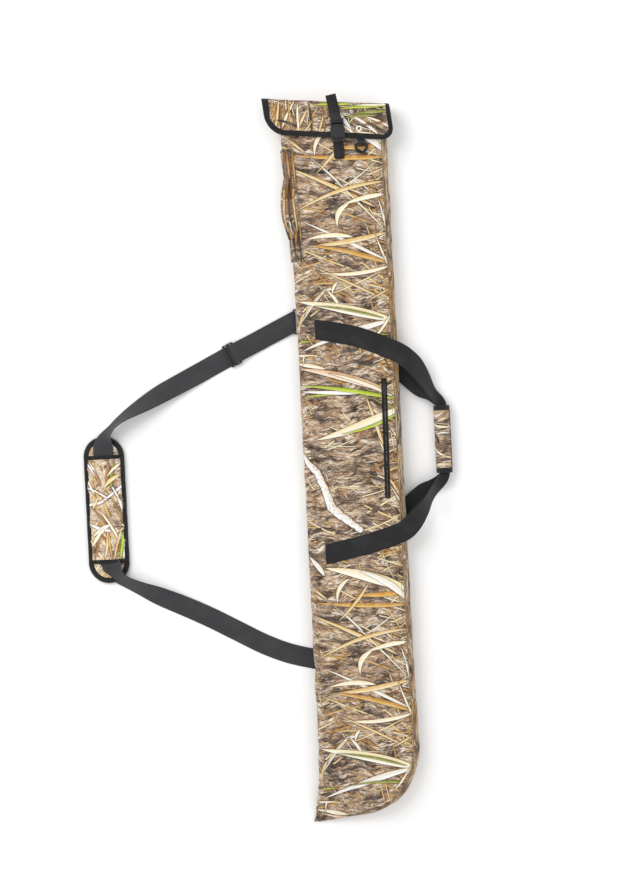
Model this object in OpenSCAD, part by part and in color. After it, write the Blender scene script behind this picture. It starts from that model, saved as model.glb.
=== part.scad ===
// Long padded carry sleeve with a buckled flap, carry handles and a shoulder strap.
// Frame: +Y runs from the bottom tip to the mouth, +X to the carry handle, +Z out of the front.
// The origin is the middle of the flat back face, which the bag lies on.

/* [Body] */
// Thickness of the filled body
body_t = 42; // [38:1:46]
// Length of the straight stretch below the middle
straight_l = 540; // [520:5:560]

/* [Walls] */
// Outer fabric
fabric_t = 1.2; // [1:0.1:1.4]
// Closed-cell foam
foam_t = 6; // [4:0.5:6]
// Inner lining
lining_t = 0.8; // [0.6:0.1:0.8]

/* [Flap] */
// Width of the flap
flap_w = 248; // [244:1:252]
// Height of the flap's front
flap_h = 69; // [68:1:70]
// Slant of the mouth, degrees
slant = 5.2; // [5:0.1:5.4]

/* [Webbing] */
// Handle and shoulder strap webbing
web_w = 38; // [36:1:38]
// Buckle webbing
buckle_web = 20; // [19:1:20]

/* [Hidden] */
$fn = 48;

wall_t = fabric_t + foam_t + lining_t;
fit = 0.15;
web_t = 1.5;
gap = 0.3;
z_front = body_t;

// ---- Body outline -------------------------------------------------------------------------
left_edge = [[-685, -112], [-640, -102], [-600, -97], [-540, -95], [300, -95], [400, -96],
    [540, -101], [600, -106], [700, -113]];
right_edge = [[-540, 98], [-400, 96], [-200, 95], [690, 95]];
function x_left(y) = lookup(y, left_edge);
function x_right(y) = lookup(y, right_edge);

// The bottom right corner is a quarter ellipse.
corner_c = [-10, -straight_l];
corner_r = [108, 131];
corner_n = 8;
corner_step = 10.5;
function corner_left(a) = -straight_l - 118 * pow(a / 84, 1.3);
function corner_t(a) = a < 45 ? body_t : body_t - 20 * pow((a - 45) / 39, 1.5);

// A station is [left end, right end, thickness]; the body is lofted through them.
mouth_l = [-112, 684];
mouth_r = [95, mouth_l.y - 207 * tan(slant)];
tip_stations = [[[-106, -670], [-55, -677], 12], [[-111, -682.5], [-98, -683.5], 4]];
stations = concat(
    [[mouth_l, mouth_r, body_t]],
    [for (y = [640, 600, 540, 400, 300, 100, -100, -300, -450, -straight_l])
        [[x_left(y), y], [x_right(y), y], body_t]],
    [for (k = [1:corner_n]) let (a = k * corner_step)
        [[x_left(corner_left(a)), corner_left(a)],
         [corner_c.x + corner_r.x * cos(a), corner_c.y - corner_r.y * sin(a)], corner_t(a)]],
    tip_stations);
last = len(stations) - 1;
last_padded = last - 2;

// A place on a station's outline: side 0 is the left round, 1 the right one, a is its angle.
front_seam = 65;
arc_n = 7;
front_places = [[0, 180 - front_seam], [0, 102], [0, 90], [1, 90], [1, 78], [1, front_seam]];
right_places = [for (k = [0:arc_n]) [1, front_seam - k * (front_seam + 90) / arc_n]];
left_places = [for (k = [0:arc_n]) [0, 270 - k * (front_seam + 90) / arc_n]];
back_places = [[1, -90], [0, 270]];
ring_places = concat(front_places, [for (k = [1:arc_n]) right_places[k]],
    [for (k = [0:arc_n - 1]) left_places[k]]);

function unit(v) = v / norm(v);
function on_section(st, place, inset) =
    let (along = unit(st[1] - st[0]), w = norm(st[1] - st[0]), half = st[2] / 2,
        r = half - inset, centre = place[0] == 0 ? half : w - half,
        p = st[0] + along * (centre + r * cos(place[1])))
    [p.x, p.y, half + r * sin(place[1])];

// ---- Shared shapes ------------------------------------------------------------------------
// A closed solid through rings of points that all have the same count and run the same way.
module skin(rings) {
    n = len(rings[0]);
    m = len(rings);
    polyhedron(
        points = [for (r = rings) each r],
        faces = concat(
            [for (i = [0:m - 2], j = [0:n - 1]) let (k = (j + 1) % n)
                each [[i * n + j, i * n + k, (i + 1) * n + k], [i * n + j, (i + 1) * n + k, (i + 1) * n + j]]],
            strip_cap(0, n, false),
            strip_cap((m - 1) * n, n, true)));
}
// The end of a folded-back strip: its points 0..n/2-1 face its points n-1..n/2.
function strip_cap(base, n, flip) =
    [for (j = [0:n / 2 - 2])
        let (a = base + j, b = base + j + 1, c = base + n - 2 - j, d = base + n - 1 - j)
        each flip ? [[a, b, c], [a, c, d]] : [[a, c, b], [a, d, c]]];

// A layer of the body wall, between two insets from its outside.
module wall_strip(places, outer, inner, from, to) {
    skin([for (i = [from:to]) concat(
        [for (p = places) on_section(stations[i], p, outer)],
        [for (k = [len(places) - 1:-1:0]) on_section(stations[i], places[k], inner)])]);
}
function shifted(st, d) =
    let (along = unit(st[1] - st[0]), up = [-along.y, along.x] * d) [st[0] + up, st[1] + up, st[2]];

// The flat middle of the body, as a plate between two heights.
function flat_edge(i, side) =
    let (st = stations[i], along = unit(st[1] - st[0]), half = st[2] / 2)
    side == 0 ? st[0] + along * half : st[1] - along * half;
module flat_plate(z0, z1, to) {
    translate([0, 0, z0]) linear_extrude(z1 - z0)
        polygon(concat([for (i = [0:to]) flat_edge(i, 0)], [for (i = [to:-1:0]) flat_edge(i, 1)]));
}

// Catmull-Rom through hand-chosen points [x, y, z, bank, width].
function spline_at(a, b, c, d, t) =
    0.5 * ((2 * b) + (c - a) * t + (2 * a - 5 * b + 4 * c - d) * t * t + (3 * b - a - 3 * c + d) * t * t * t);
function spline(pts, n) =
    let (last_p = len(pts) - 1)
    concat([for (i = [0:last_p - 1], k = [0:n - 1])
        spline_at(pts[max(i - 1, 0)], pts[i], pts[i + 1], pts[min(i + 2, last_p)], k / n)], [pts[last_p]]);
// Flat webbing along such a route: the bank turns it about its own length.
// A cut end runs parallel to Y, whatever way the webbing goes, and the next rings turn back from it.
module ribbon(route, t, n, cut_first = false, cut_last = false, cut_rings = 4) {
    p = spline(route, n);
    m = len(p) - 1;
    skin([for (i = [0:m])
        let (a = p[max(i - 1, 0)], b = p[min(i + 1, m)], d = unit([b.x - a.x, b.y - a.y]),
            c = [p[i].x, p[i].y, p[i].z], bank = p[i][3], w = p[i][4],
            cut = max(cut_first ? 1 - i / cut_rings : 0, cut_last ? 1 - (m - i) / cut_rings : 0),
            across = [-d.y * cos(bank), d.x * cos(bank), sin(bank)],
            side = cut > 0 ? across * (1 - cut) + [0, 1 / d.x, 0] * cut : across,
            up = [d.y * sin(bank), -d.x * sin(bank), cos(bank)])
        [c + side * w / 2 - up * t / 2, c - side * w / 2 - up * t / 2,
         c - side * w / 2 + up * t / 2, c + side * w / 2 + up * t / 2]]);
}
// Webbing of width w along X, turned round a bar at the origin, with its sewn tail towards +Y.
module folded_web(w, bar_r, tail, tail_z) {
    r = bar_r + 0.15;
    rotate([90, 0, 90]) translate([0, 0, -w / 2]) linear_extrude(w) union() {
        difference() {
            circle(r + web_t);
            circle(r);
        }
        translate([r, tail_z]) square([tail - r, web_t]);
    }
}
module stadium(w, l) {
    hull() for (s = [-1, 1]) translate([0, s * (l - w) / 2]) circle(w / 2);
}
module rounded_plate(w, l, r, t) {
    linear_extrude(t) polygon([for (c = [[1, 1, 0], [-1, 1, 90], [-1, -1, 180], [1, -1, 270]], k = [0:6])
        [c.x * (w / 2 - r) + r * cos(c.z + 15 * k), c.y * (l / 2 - r) + r * sin(c.z + 15 * k)]]);
}

// ---- Body ---------------------------------------------------------------------------------
module front_panel() {
    color("tan") wall_strip(front_places, 0, fabric_t, 0, last);
}
module back_panel() {
    color("tan") flat_plate(0, fabric_t, last);
}
module gusset_right() {
    color("tan") wall_strip(right_places, 0, fabric_t, 0, last);
}
module gusset_left() {
    color("tan") wall_strip(left_places, 0, fabric_t, 0, last);
}
module foam_front() {
    color("dimgray") wall_strip(front_places, fabric_t + fit, fabric_t + foam_t - fit, 0, last_padded);
}
module foam_back() {
    color("dimgray") flat_plate(fabric_t + fit, fabric_t + foam_t - fit, last_padded);
}
module foam_right() {
    color("dimgray") wall_strip(right_places, fabric_t + fit, fabric_t + foam_t - fit, 0, last_padded);
}
module foam_left() {
    color("dimgray") wall_strip(left_places, fabric_t + fit, fabric_t + foam_t - fit, 0, last_padded);
}
// A closed ring of wall, with no caps at its seam.
module ring_skin(ring_stations, outer, inner) {
    n = len(ring_places);
    m = len(ring_stations);
    polyhedron(
        points = concat(
            [for (st = ring_stations, p = ring_places) on_section(st, p, outer)],
            [for (st = ring_stations, p = ring_places) on_section(st, p, inner)]),
        faces = concat(
            [for (i = [0:m - 2], j = [0:n - 1]) let (k = (j + 1) % n, o = m * n,
                a = i * n + j, b = i * n + k, c = (i + 1) * n + k, d = (i + 1) * n + j)
                each [[a, b, c], [a, c, d], [o + a, o + c, o + b], [o + a, o + d, o + c]]],
            [for (j = [0:n - 1]) let (k = (j + 1) % n, o = m * n, e = (m - 1) * n)
                each [[j, o + k, k], [j, o + j, o + k], [e + j, e + k, o + e + k], [e + j, o + e + k, o + e + j]]]));
}
module lining() {
    color("black") ring_skin([for (i = [0:last_padded]) stations[i]], fabric_t + foam_t, wall_t);
}
module mouth_binding() {
    color("black") ring_skin([shifted(stations[0], 2), shifted(stations[0], 0)], 0, wall_t);
}

// ---- Front pocket and its zip -------------------------------------------------------------
zip_top = [64.8, 154];
zip_l = 228;
zip_turn = -1;
slider_l = 10;
pull_l = 26;
pull_r = 1.1;
pull_pin = [0, -6.4, 4.6];
module at_zip() {
    translate([zip_top.x, zip_top.y, z_front]) rotate(zip_turn) children();
}
module zip_tapes() {
    color("black") at_zip() for (s = [-1, 1])
        translate([s > 0 ? 1.9 : -5.4, -zip_l, 0.1]) cube([3.5, zip_l, 0.8]);
}
module zip_coils() {
    color("black") at_zip() for (s = [-1, 1])
        translate([s > 0 ? 0.1 : -1.8, -zip_l + 3, 0.1]) cube([1.7, zip_l - 6, 1.3]);
}
module zip_stops() {
    color("black") at_zip() for (y = [-zip_l, -2.6])
        translate([-1.8, y, 0.1]) cube([3.6, 2.6, 1.6]);
}
module pocket_pouch() {
    // The two layers hang inside the lining, behind the zip.
    color("black") translate([-62, -80, z_front - wall_t - 1.3]) linear_extrude(1.1)
        polygon([[0, 0], [130, 0], [130, 236], [0, 236]]);
}
module zip_slider() {
    color("black") at_zip() difference() {
        union() {
            translate([0, -3 - slider_l / 2, 1.6]) rounded_plate(8.6, slider_l, 2.5, 1.8);
            for (s = [-1, 1]) translate([s * 2.4 - 0.6, -8.8, 3.3]) cube([1.2, 4.8, 3]);
        }
        translate([-5, pull_pin.y, pull_pin.z]) rotate([0, 90, 0]) cylinder(r = 0.8, h = 10);
    }
}
module zip_pull() {
    color("black") at_zip() translate(pull_pin) {
        rotate([0, 90, 0]) cylinder(r = 0.75, h = 7.2, center = true);
        translate([-1.2, -7, -pull_r / 2]) cube([2.4, 7, pull_r]);
        difference() {
            translate([0, -6 - (pull_l - 6) / 2, -pull_r / 2]) rounded_plate(7, pull_l - 6, 2, pull_r);
            translate([0, -pull_l + 4.5, -2]) cylinder(r = 1.4, h = 4);
        }
    }
}

// ---- Grab handle on the left shoulder ------------------------------------------------------
// The base patch and the handle's sewn ends lie on the round; the loop bows away between them.
grab_low = [382, 430];
grab_high = [538, 596];
grab_base_t = 1.3;
grab_strap_t = 2.4;
function body_station(y) = [[x_left(y), y], [x_right(y), y], body_t];
module shoulder_patch(from_a, to_a, ys, inner, outer) {
    places = [for (k = [0:6]) [0, from_a + k * (to_a - from_a) / 6]];
    skin([for (y = ys) concat(
        [for (q = places) on_section(body_station(y), q, -outer)],
        [for (k = [6:-1:0]) on_section(body_station(y), places[k], -inner)])]);
}
module grab_base() {
    color("peru") shoulder_patch(94, 176, [grab_high[1], 540, 500, 460, 420, grab_low[0]], 0.1, 0.1 + grab_base_t);
}
module grab_ends() {
    z0 = 0.2 + grab_base_t;
    color("peru") for (ys = [[grab_high[1], 567, grab_high[0]], [grab_low[1], 406, grab_low[0]]])
        shoulder_patch(118, 172, ys, z0, z0 + grab_strap_t);
}
grab_ctrl = [[-96.6, 431, 34.9, -55, 21], [-100.5, 446, 35, -55, 21], [-105.3, 465, 35, -55, 21],
    [-106.8, 486, 35, -55, 21], [-105.6, 507, 35, -55, 21], [-102.6, 524, 35, -55, 21],
    [-100, 537, 34.9, -55, 21]];
module grab_loop() {
    color("peru") ribbon(grab_ctrl, grab_strap_t, 3);
}

// ---- D-ring -------------------------------------------------------------------------------
dring_at = [44.5, 597, z_front + 4.4];
dring_wire = 2.5;
dring_r = 10.3;
dring_leg = 5;
module dring_tab() {
    color("black") translate(dring_at) folded_web(13.5, dring_wire, 19, -4.1);
}
module dring() {
    color("black") translate(dring_at) {
        rotate([0, 90, 0]) cylinder(r = dring_wire, h = 2 * dring_r, center = true);
        for (s = [-1, 1]) {
            translate([s * dring_r, 0, 0]) sphere(r = dring_wire);
            translate([s * dring_r, 0, 0]) rotate([90, 0, 0]) cylinder(r = dring_wire, h = dring_leg);
        }
        translate([0, -dring_leg, 0]) rotate([0, 0, 180]) rotate_extrude(angle = 180)
            translate([dring_r, 0]) circle(dring_wire);
    }
}

// ---- Carry handles ------------------------------------------------------------------------
// The sewn webbing stops where the front rounds away, and the loops start there.
sewn_z = z_front + 0.95;
sewn_upper = [[-60.7, 252], [5.3, 238], [50, 221.2], [76, 209.6]];
sewn_lower = [[-62, -174], [8.7, -160], [52, -149], [76, -141.6]];
grip_at = [172, 33];
grip_l = 128;
grip_w = 31;
grip_t = 20;
grip_z = 14;
module sewn_web(route) {
    ribbon([for (p = route) [p.x, p.y, sewn_z, 0, web_w]], web_t, 3, false, true);
}
module handle_web_front_sewn() {
    color("black") {
        sewn_web(sewn_upper);
        sewn_web(sewn_lower);
    }
}
front_loop = [[77.8, 208.8, sewn_z, 0, web_w], [92, 202, 43.2, -2, web_w], [108, 191, 42, -8, web_w],
    [124, 175, 38.5, -18, web_w], [139, 151, 33, -36, 36], [152, 127, 26.5, -46, 30], [160.5, 114.5, 20.5, -34, 25],
    [170.4, 102, 17.2, -3, 20], [171.9, 91, 17, 0, 20], [172, 34, 17, 0, 20],
    [172, -25, 17, 0, 20], [170.4, -37, 17.2, -3, 20], [161, -49.5, 21, -34, 25],
    [150, -62, 28, -52, 30], [138, -79, 33, -56, 34], [124, -100, 38.5, -38, 37], [106, -122, 42, -16, web_w],
    [91, -135, 43.2, -4, web_w], [77.8, -141.1, sewn_z, 0, web_w]];
module handle_loop_front() {
    color("black") ribbon(front_loop, web_t, 5, true, true, 10);
}
back_loop = [[85.5, 182, 2.2, 0, web_w], [98, 170, 3.4, 0, web_w], [115, 150, 6.5, -14, 36],
    [133, 129, 10, -28, 32], [150, 119, 13, -32, 27], [160, 112, 12.8, -26, 25], [170.4, 102, 11, -3, 20],
    [171.9, 91, 10.8, 0, 20], [172, 34, 10.8, 0, 20], [172, -25, 10.8, 0, 20],
    [170.4, -37, 11, -3, 20], [160, -46.5, 12.8, -26, 25], [146, -55, 13, -32, 30], [130, -64, 9.5, -24, 34],
    [114, -80, 6, -10, 37], [98, -98, 3.2, 0, web_w], [85.5, -112, 2.2, 0, web_w]];
module handle_loop_back() {
    color("black") ribbon(back_loop, web_t, 5, true, true, 10);
}
// The grip is a soft sleeve in two halves; the upper one folds open about its inner side.
grip_hollow = [24.6, 11];
module grip_half(s) {
    translate([grip_at.x, grip_at.y + grip_l / 2, grip_z]) rotate([90, 0, 0]) linear_extrude(grip_l)
        intersection() {
            difference() {
                scale([grip_w / grip_t, 1]) circle(grip_t / 2);
                square(grip_hollow, center = true);
            }
            translate([-30, s > 0 ? 0.15 : -30.15]) square([60, 30]);
        }
}
module grip_base() {
    color("peru") grip_half(-1);
}
module grip_cover() {
    color("peru") grip_half(1);
}

// ---- Flap ---------------------------------------------------------------------------------
// Flap parts are drawn with the mouth's middle at the origin and +Y out of the mouth.
flap_t = 2.5;
flap_z = z_front + 3.2;
fold_y = 6.5;
flap_mid = [-12, mouth_l.y - 100 * tan(slant)];
bind_w = 10;
bind_t = 3.6;
// The flap leans: each side steps to the right by this much per millimetre below the fold.
flap_lean = 0.2;
flap_corner = [36, 26];
module at_flap() {
    translate([flap_mid.x, flap_mid.y, 0]) rotate(-slant) children();
}
function lean(p) = [p.x + flap_lean * (fold_y - p.y) - 8, p.y];
module flap_outline(inset) {
    x = flap_w / 2 - 3 - inset;
    y0 = fold_y - flap_h + inset;
    left = flap_corner[0] - inset;
    right = flap_corner[1] - inset;
    polygon([for (p = concat([[-x, fold_y], [x, fold_y]],
        [for (a = [0:-10:-90]) [x - right + right * cos(a), y0 + right + right * sin(a)]],
        [for (a = [270:-10:180]) [-x + left + left * cos(a), y0 + left + left * sin(a)]])) lean(p)]);
}
// The back fabric stands up across the mouth and folds forward into the flap.
bridge = [-116, 106];
bridge_foot_w = 180;
module flap_bridge() {
    color("tan") at_flap() {
        translate([bridge[0], fold_y - flap_t, 1.4]) cube([bridge[1] - bridge[0], flap_t, flap_z - 1.8]);
        translate([-bridge_foot_w / 2, 2.3, 0.05]) cube([bridge_foot_w, fold_y - 2.3, 1.1]);
    }
}
module flap_panel() {
    color("tan") at_flap() translate([0, 0, flap_z]) difference() {
        linear_extrude(flap_t) flap_outline(bind_w + 0.1);
        translate([flap_hole.x, flap_hole.y, -1]) cylinder(r = hole_r + 0.6, h = 5);
    }
}
module flap_binding() {
    color("black") at_flap() translate([0, 0, flap_z - 0.4]) linear_extrude(bind_t) difference() {
        flap_outline(0);
        flap_outline(bind_w);
        translate([-200, fold_y - 0.02]) square([400, 10]);
    }
}
flap_hole = [58, -43.6];
hole_r = 3;
module grommet() {
    color("silver") at_flap() translate([flap_hole.x, flap_hole.y, flap_z]) rotate_extrude()
        polygon([[hole_r, -0.5], [5.6, -0.5], [5.6, -0.05], [hole_r + 0.55, -0.05],
            [hole_r + 0.55, flap_t + 0.05], [5.6, flap_t + 0.05], [5.6, flap_t + 0.7], [hole_r, flap_t + 0.7]]);
}

// ---- Buckle -------------------------------------------------------------------------------
// Buckle parts are drawn from the buckle's middle, plug towards +Y, resting at z = 0.
buckle_at = [17, -44, z_front + 7.4];
buckle_turn = 6.7;
socket_size = [27, 25, 7.6];
plug_size = [25, 14, 5.4];
socket_y = [-23.5, 1.5];
plug_y = 2;
pocket_w = 22;
pocket_z = [1.6, 4.4];
prong_x = 7.6;
prong_z = [2.1, 3.4];
tail_l = 52;
tail_lean = 9;
flex_y = -36.4;
buckle_web_t = 1.2;
module at_buckle() {
    at_flap() translate(buckle_at) rotate(buckle_turn) children();
}
module web_block(y0, y1, z0, z1) {
    translate([-buckle_web / 2, y0, z0]) cube([buckle_web, y1 - y0, z1 - z0]);
}
module buckle_socket() {
    color("black") at_buckle() difference() {
        translate([0, (socket_y[0] + socket_y[1]) / 2, 0]) rounded_plate(socket_size.x, socket_size.y, 3, socket_size.z);
        // The pocket that the prongs enter.
        translate([-pocket_w / 2, -18.5, pocket_z[0]]) cube([pocket_w, 22, pocket_z[1]]);
        // The side windows that the release tabs fill.
        for (s = [-1, 1]) translate([s > 0 ? 9 : -15, -14.5, pocket_z[0]]) cube([6, 11, pocket_z[1]]);
        // The slot for the webbing.
        translate([-10.5, -22.1, -1]) cube([21, 2.2, 10]);
    }
}
module buckle_plug() {
    color("black") at_buckle() difference() {
        translate([0, plug_y + plug_size.y / 2, 1]) rounded_plate(plug_size.x, plug_size.y, 2.5, plug_size.z);
        for (y = [5.5, 10.9]) translate([-10.4, y, -1]) cube([20.8, 3.2, 10]);
    }
}
module prong(s) {
    color("black") at_buckle() {
        translate([s * prong_x - 1.3, -13, prong_z[0]]) cube([2.6, plug_y + 12.98, prong_z[1]]);
        translate([s > 0 ? prong_x + 1.3 : -prong_x - 5, -13.5, prong_z[0]]) cube([3.7, 9, prong_z[1]]);
    }
}
module plug_prong_left() {
    prong(-1);
}
module plug_prong_right() {
    prong(1);
}
// The fixed layer lies under the plug; the tail comes back over it and past the fold.
module flap_web_anchor() {
    color("black") at_buckle() web_block(-2, 53, -1.4, -0.2);
}
module plug_web_tail() {
    color("black") at_buckle() {
        web_block(11.4, 11.4 + buckle_web_t, 0.4, 6.9);
        translate([0, 11.4, 6.9]) rotate(tail_lean) translate([-buckle_web / 2, 0, 0])
            cube([buckle_web, tail_l, buckle_web_t]);
    }
}
// The short lower strap: a loop through the socket's slot, free as far as its stitching.
module socket_web() {
    color("black") at_buckle() {
        web_block(-21.6, -20.4, -4.9, 7.9);
        web_block(-25.2, -20.4, 7.9, 9.1);
        web_block(-25.2, -24, -4.9, 7.9);
        web_block(flex_y + 0.6, -20.4, -7.1, -4.9);
    }
}
module socket_web_sewn() {
    color("black") at_buckle() web_block(-59, flex_y - 0.4, -7.2, -4.9);
}

// ---- Shoulder strap -----------------------------------------------------------------------
strap_y = 271;
ring_wire = 1.2;
ring_half = 22.5;
ring_z = 3;
ring_in = -90.2;
ring_out = -99.5;
fold_r = ring_wire + 0.15;
strap_z = ring_z - fold_r - web_t / 2;
return_z = ring_z + fold_r + web_t / 2;
module strap_ring_tab() {
    color("black") translate([ring_in, strap_y, ring_z]) rotate([0, 0, -90])
        folded_web(web_w, ring_wire, 9, -2.6);
}
module strap_ring() {
    color("black") {
        for (x = [ring_in, ring_out]) translate([x, strap_y, ring_z]) rotate([90, 0, 0])
            cylinder(r = ring_wire, h = 2 * ring_half, center = true);
        for (s = [-1, 1], x = [ring_in, ring_out]) translate([x, strap_y + s * ring_half, ring_z])
            sphere(r = ring_wire);
        for (s = [-1, 1]) translate([(ring_in + ring_out) / 2, strap_y + s * ring_half, ring_z])
            rotate([0, 90, 0]) cylinder(r = ring_wire, h = ring_in - ring_out, center = true);
    }
}
// The webbing turns round the ring's outer bar.
module strap_fold() {
    color("black") translate([ring_out, strap_y, ring_z]) rotate([90, 0, 0])
        translate([0, 0, -web_w / 2]) linear_extrude(web_w) difference() {
            circle(fold_r + web_t);
            circle(fold_r);
            translate([-10.02, -5]) square([10, 10]);
        }
}
// One length of webbing, from the ring past the slider, through the pad and back to the lower seam.
strap_route = [[-99.6, 271, strap_z, 0, web_w], [-150, 247.2, strap_z, 0, web_w],
    [-221, 214, strap_z, 0, web_w], [-257, 196.5, strap_z, 0, web_w],
    [-290, 180, 2.2, 2, web_w], [-325, 163, 5, 8, web_w], [-360, 146, 9, 18, web_w], [-395, 127, 14.5, 32, 36],
    [-425, 110, 20, 46, 32], [-445, 96, 23.5, 52, 28], [-459, 83, 23, 44, 26], [-468, 72, 19.5, 26, 28],
    [-473, 62, 14.6, 8, 33], [-475, 50, 11, 0, web_w], [-475, 30, 10.6, 0, web_w], [-475, -70, 10.6, 0, web_w],
    [-475, -150, 10.6, 0, web_w], [-475, -172, 10.8, 0, 36], [-471, -187, 13, 6, 34], [-460, -200, 15, 12, 33],
    [-443, -211, 14, 12, 34], [-418, -223, 9.5, 10, 36], [-385, -238, 5, 4, web_w], [-340, -258, 2.4, 0, web_w],
    [-290, -283, 1.1, 0, web_w], [-240, -311, strap_z, 0, web_w], [-190, -339, strap_z, 0, web_w],
    [-150, -357, strap_z, 0, web_w], [-120, -366.6, strap_z, 0, web_w], [-99.9, -371.6, strap_z, 0, web_w]];
module strap_webbing() {
    color("black") ribbon(strap_route, web_t, 4, true, true, 8);
}
module strap_lower_root() {
    color("black") ribbon([[-99.3, -371.8, strap_z, 0, web_w], [-90, -374, strap_z, 0, web_w],
        [-80.5, -376.4, strap_z, 0, web_w]], web_t, 1, true, true);
}
// The end of the webbing comes back from the ring, over the first layer, to the slider's bar.
slider_at = [-221, 214, 5.3];
slider_turn = 24.2;
slider_size = [23, 45, 3.4];
return_route = [[-99.6, 271, return_z, 0, web_w], [-138, 253, 3.2, 0, web_w],
    [-180, 232.9, 3.6, 0, web_w], [-204, 221.8, 8.1, 0, web_w], [-218.5, 215.1, 8.3, 0, web_w]];
module strap_return() {
    color("black") ribbon(return_route, web_t, 3, true, false);
}
module strap_slider() {
    color("black") translate(slider_at) rotate(slider_turn) difference() {
        translate([0, 0, -slider_size.z / 2]) rounded_plate(slider_size.x, slider_size.y, 3, slider_size.z);
        for (s = [-1, 1]) translate([s * 5.2 - 2.6, -19.8, -4]) cube([5.2, 39.6, 8]);
    }
}

// ---- Shoulder pad -------------------------------------------------------------------------
pad_at = [-475, -69];
pad_l = 280;
pad_w = 78;
pad_t = 9;
pad_bind = 10;
pad_ends = [-94, 96];
band_w = 8;
// The cover bows over the webbing that runs under it.
module pad_layer(y0, y1, over) {
    h = 1.2 + over;
    translate([pad_at.x, pad_at.y + y1, pad_t + 0.1]) rotate([90, 0, 0]) linear_extrude(y1 - y0)
        polygon([[-37, 0.1], [-22, 0.1], [-20.5, 2.8], [20.5, 2.8], [22, 0.1], [37, 0.1], [37, 0.1 + h],
            [22.8, 0.1 + h], [21.3, 2.8 + h], [-21.3, 2.8 + h], [-22.8, 0.1 + h], [-37, 0.1 + h]]);
}
module pad_base() {
    color("tan") translate([pad_at.x, pad_at.y, 0.1]) linear_extrude(pad_t)
        stadium(pad_w - 2 * pad_bind, pad_l - 2 * pad_bind);
}
module pad_binding() {
    color("black") translate([pad_at.x, pad_at.y, 0.1]) linear_extrude(pad_t) difference() {
        stadium(pad_w, pad_l);
        stadium(pad_w - 2 * pad_bind + 0.04, pad_l - 2 * pad_bind + 0.04);
    }
}
module pad_cover() {
    color("tan") pad_layer(pad_ends[0] + 0.1, pad_ends[1] - 0.1, 0);
}
module pad_bands() {
    color("black") {
        pad_layer(pad_ends[0] - band_w, pad_ends[0], 0.3);
        pad_layer(pad_ends[1], pad_ends[1] + band_w, 0.3);
    }
}

front_panel();
back_panel();
gusset_right();
gusset_left();
foam_front();
foam_back();
foam_right();
foam_left();
lining();
mouth_binding();
zip_tapes();
zip_coils();
zip_stops();
pocket_pouch();
zip_slider();
zip_pull();
grab_base();
grab_ends();
grab_loop();
dring_tab();
dring();
handle_web_front_sewn();
handle_loop_front();
handle_loop_back();
grip_base();
grip_cover();
flap_bridge();
flap_panel();
flap_binding();
grommet();
flap_web_anchor();
plug_web_tail();
buckle_plug();
plug_prong_left();
plug_prong_right();
buckle_socket();
socket_web();
socket_web_sewn();
strap_ring_tab();
strap_ring();
strap_fold();
strap_webbing();
strap_lower_root();
strap_return();
strap_slider();
pad_base();
pad_binding();
pad_cover();
pad_bands();
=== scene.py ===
import math
import random

import bmesh
import bpy
import numpy as np
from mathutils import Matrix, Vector
from mathutils.bvhtree import BVHTree
from mathutils import noise


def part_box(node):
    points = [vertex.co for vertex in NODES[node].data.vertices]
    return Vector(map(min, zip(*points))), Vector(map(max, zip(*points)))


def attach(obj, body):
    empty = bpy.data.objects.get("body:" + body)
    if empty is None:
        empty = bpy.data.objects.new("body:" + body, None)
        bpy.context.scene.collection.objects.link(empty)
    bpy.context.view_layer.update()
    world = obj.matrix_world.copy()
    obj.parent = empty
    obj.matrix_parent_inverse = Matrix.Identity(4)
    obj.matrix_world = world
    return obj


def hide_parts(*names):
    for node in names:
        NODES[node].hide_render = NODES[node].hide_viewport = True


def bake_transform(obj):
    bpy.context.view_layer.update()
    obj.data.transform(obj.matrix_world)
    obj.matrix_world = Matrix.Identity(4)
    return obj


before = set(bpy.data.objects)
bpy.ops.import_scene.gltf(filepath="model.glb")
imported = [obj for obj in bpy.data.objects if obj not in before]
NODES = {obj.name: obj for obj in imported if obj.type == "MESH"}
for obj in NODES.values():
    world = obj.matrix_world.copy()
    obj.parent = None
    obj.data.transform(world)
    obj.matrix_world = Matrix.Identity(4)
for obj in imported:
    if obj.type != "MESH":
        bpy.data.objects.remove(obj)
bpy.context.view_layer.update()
MM = 0.001

# ---- Camera, floor and light ---------------------------------------------------------------
CAM_DISTANCE = 4.0
VIEW_CENTRE = (-0.0625, 0.0279)
VIEW_HEIGHT = 1.7024
TURN = math.radians(2.937)
SENSOR = 36.0
WORLD_LIGHT = 0.78
FLOOR_HALF, FLOOR_Z = 30.0, -0.0004


def make_camera():
    data = bpy.data.cameras.new("camera")
    data.sensor_width = SENSOR
    data.lens = SENSOR * CAM_DISTANCE / VIEW_HEIGHT
    data.clip_end = 50
    cam = bpy.data.objects.new("camera", data)
    cam.location = (VIEW_CENTRE[0], VIEW_CENTRE[1], CAM_DISTANCE + 0.02)
    cam.rotation_euler = (0, 0, -TURN)
    bpy.context.scene.collection.objects.link(cam)
    bpy.context.scene.camera = cam


def area_light(name, place, target, size, power):
    data = bpy.data.lights.new(name, "AREA")
    data.shape = "RECTANGLE"
    data.size, data.size_y = size
    data.energy = power
    lamp = bpy.data.objects.new(name, data)
    lamp.location = place
    lamp.rotation_euler = (Vector(target) - Vector(place)).to_track_quat("-Z", "Y").to_euler()
    bpy.context.scene.collection.objects.link(lamp)


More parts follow.
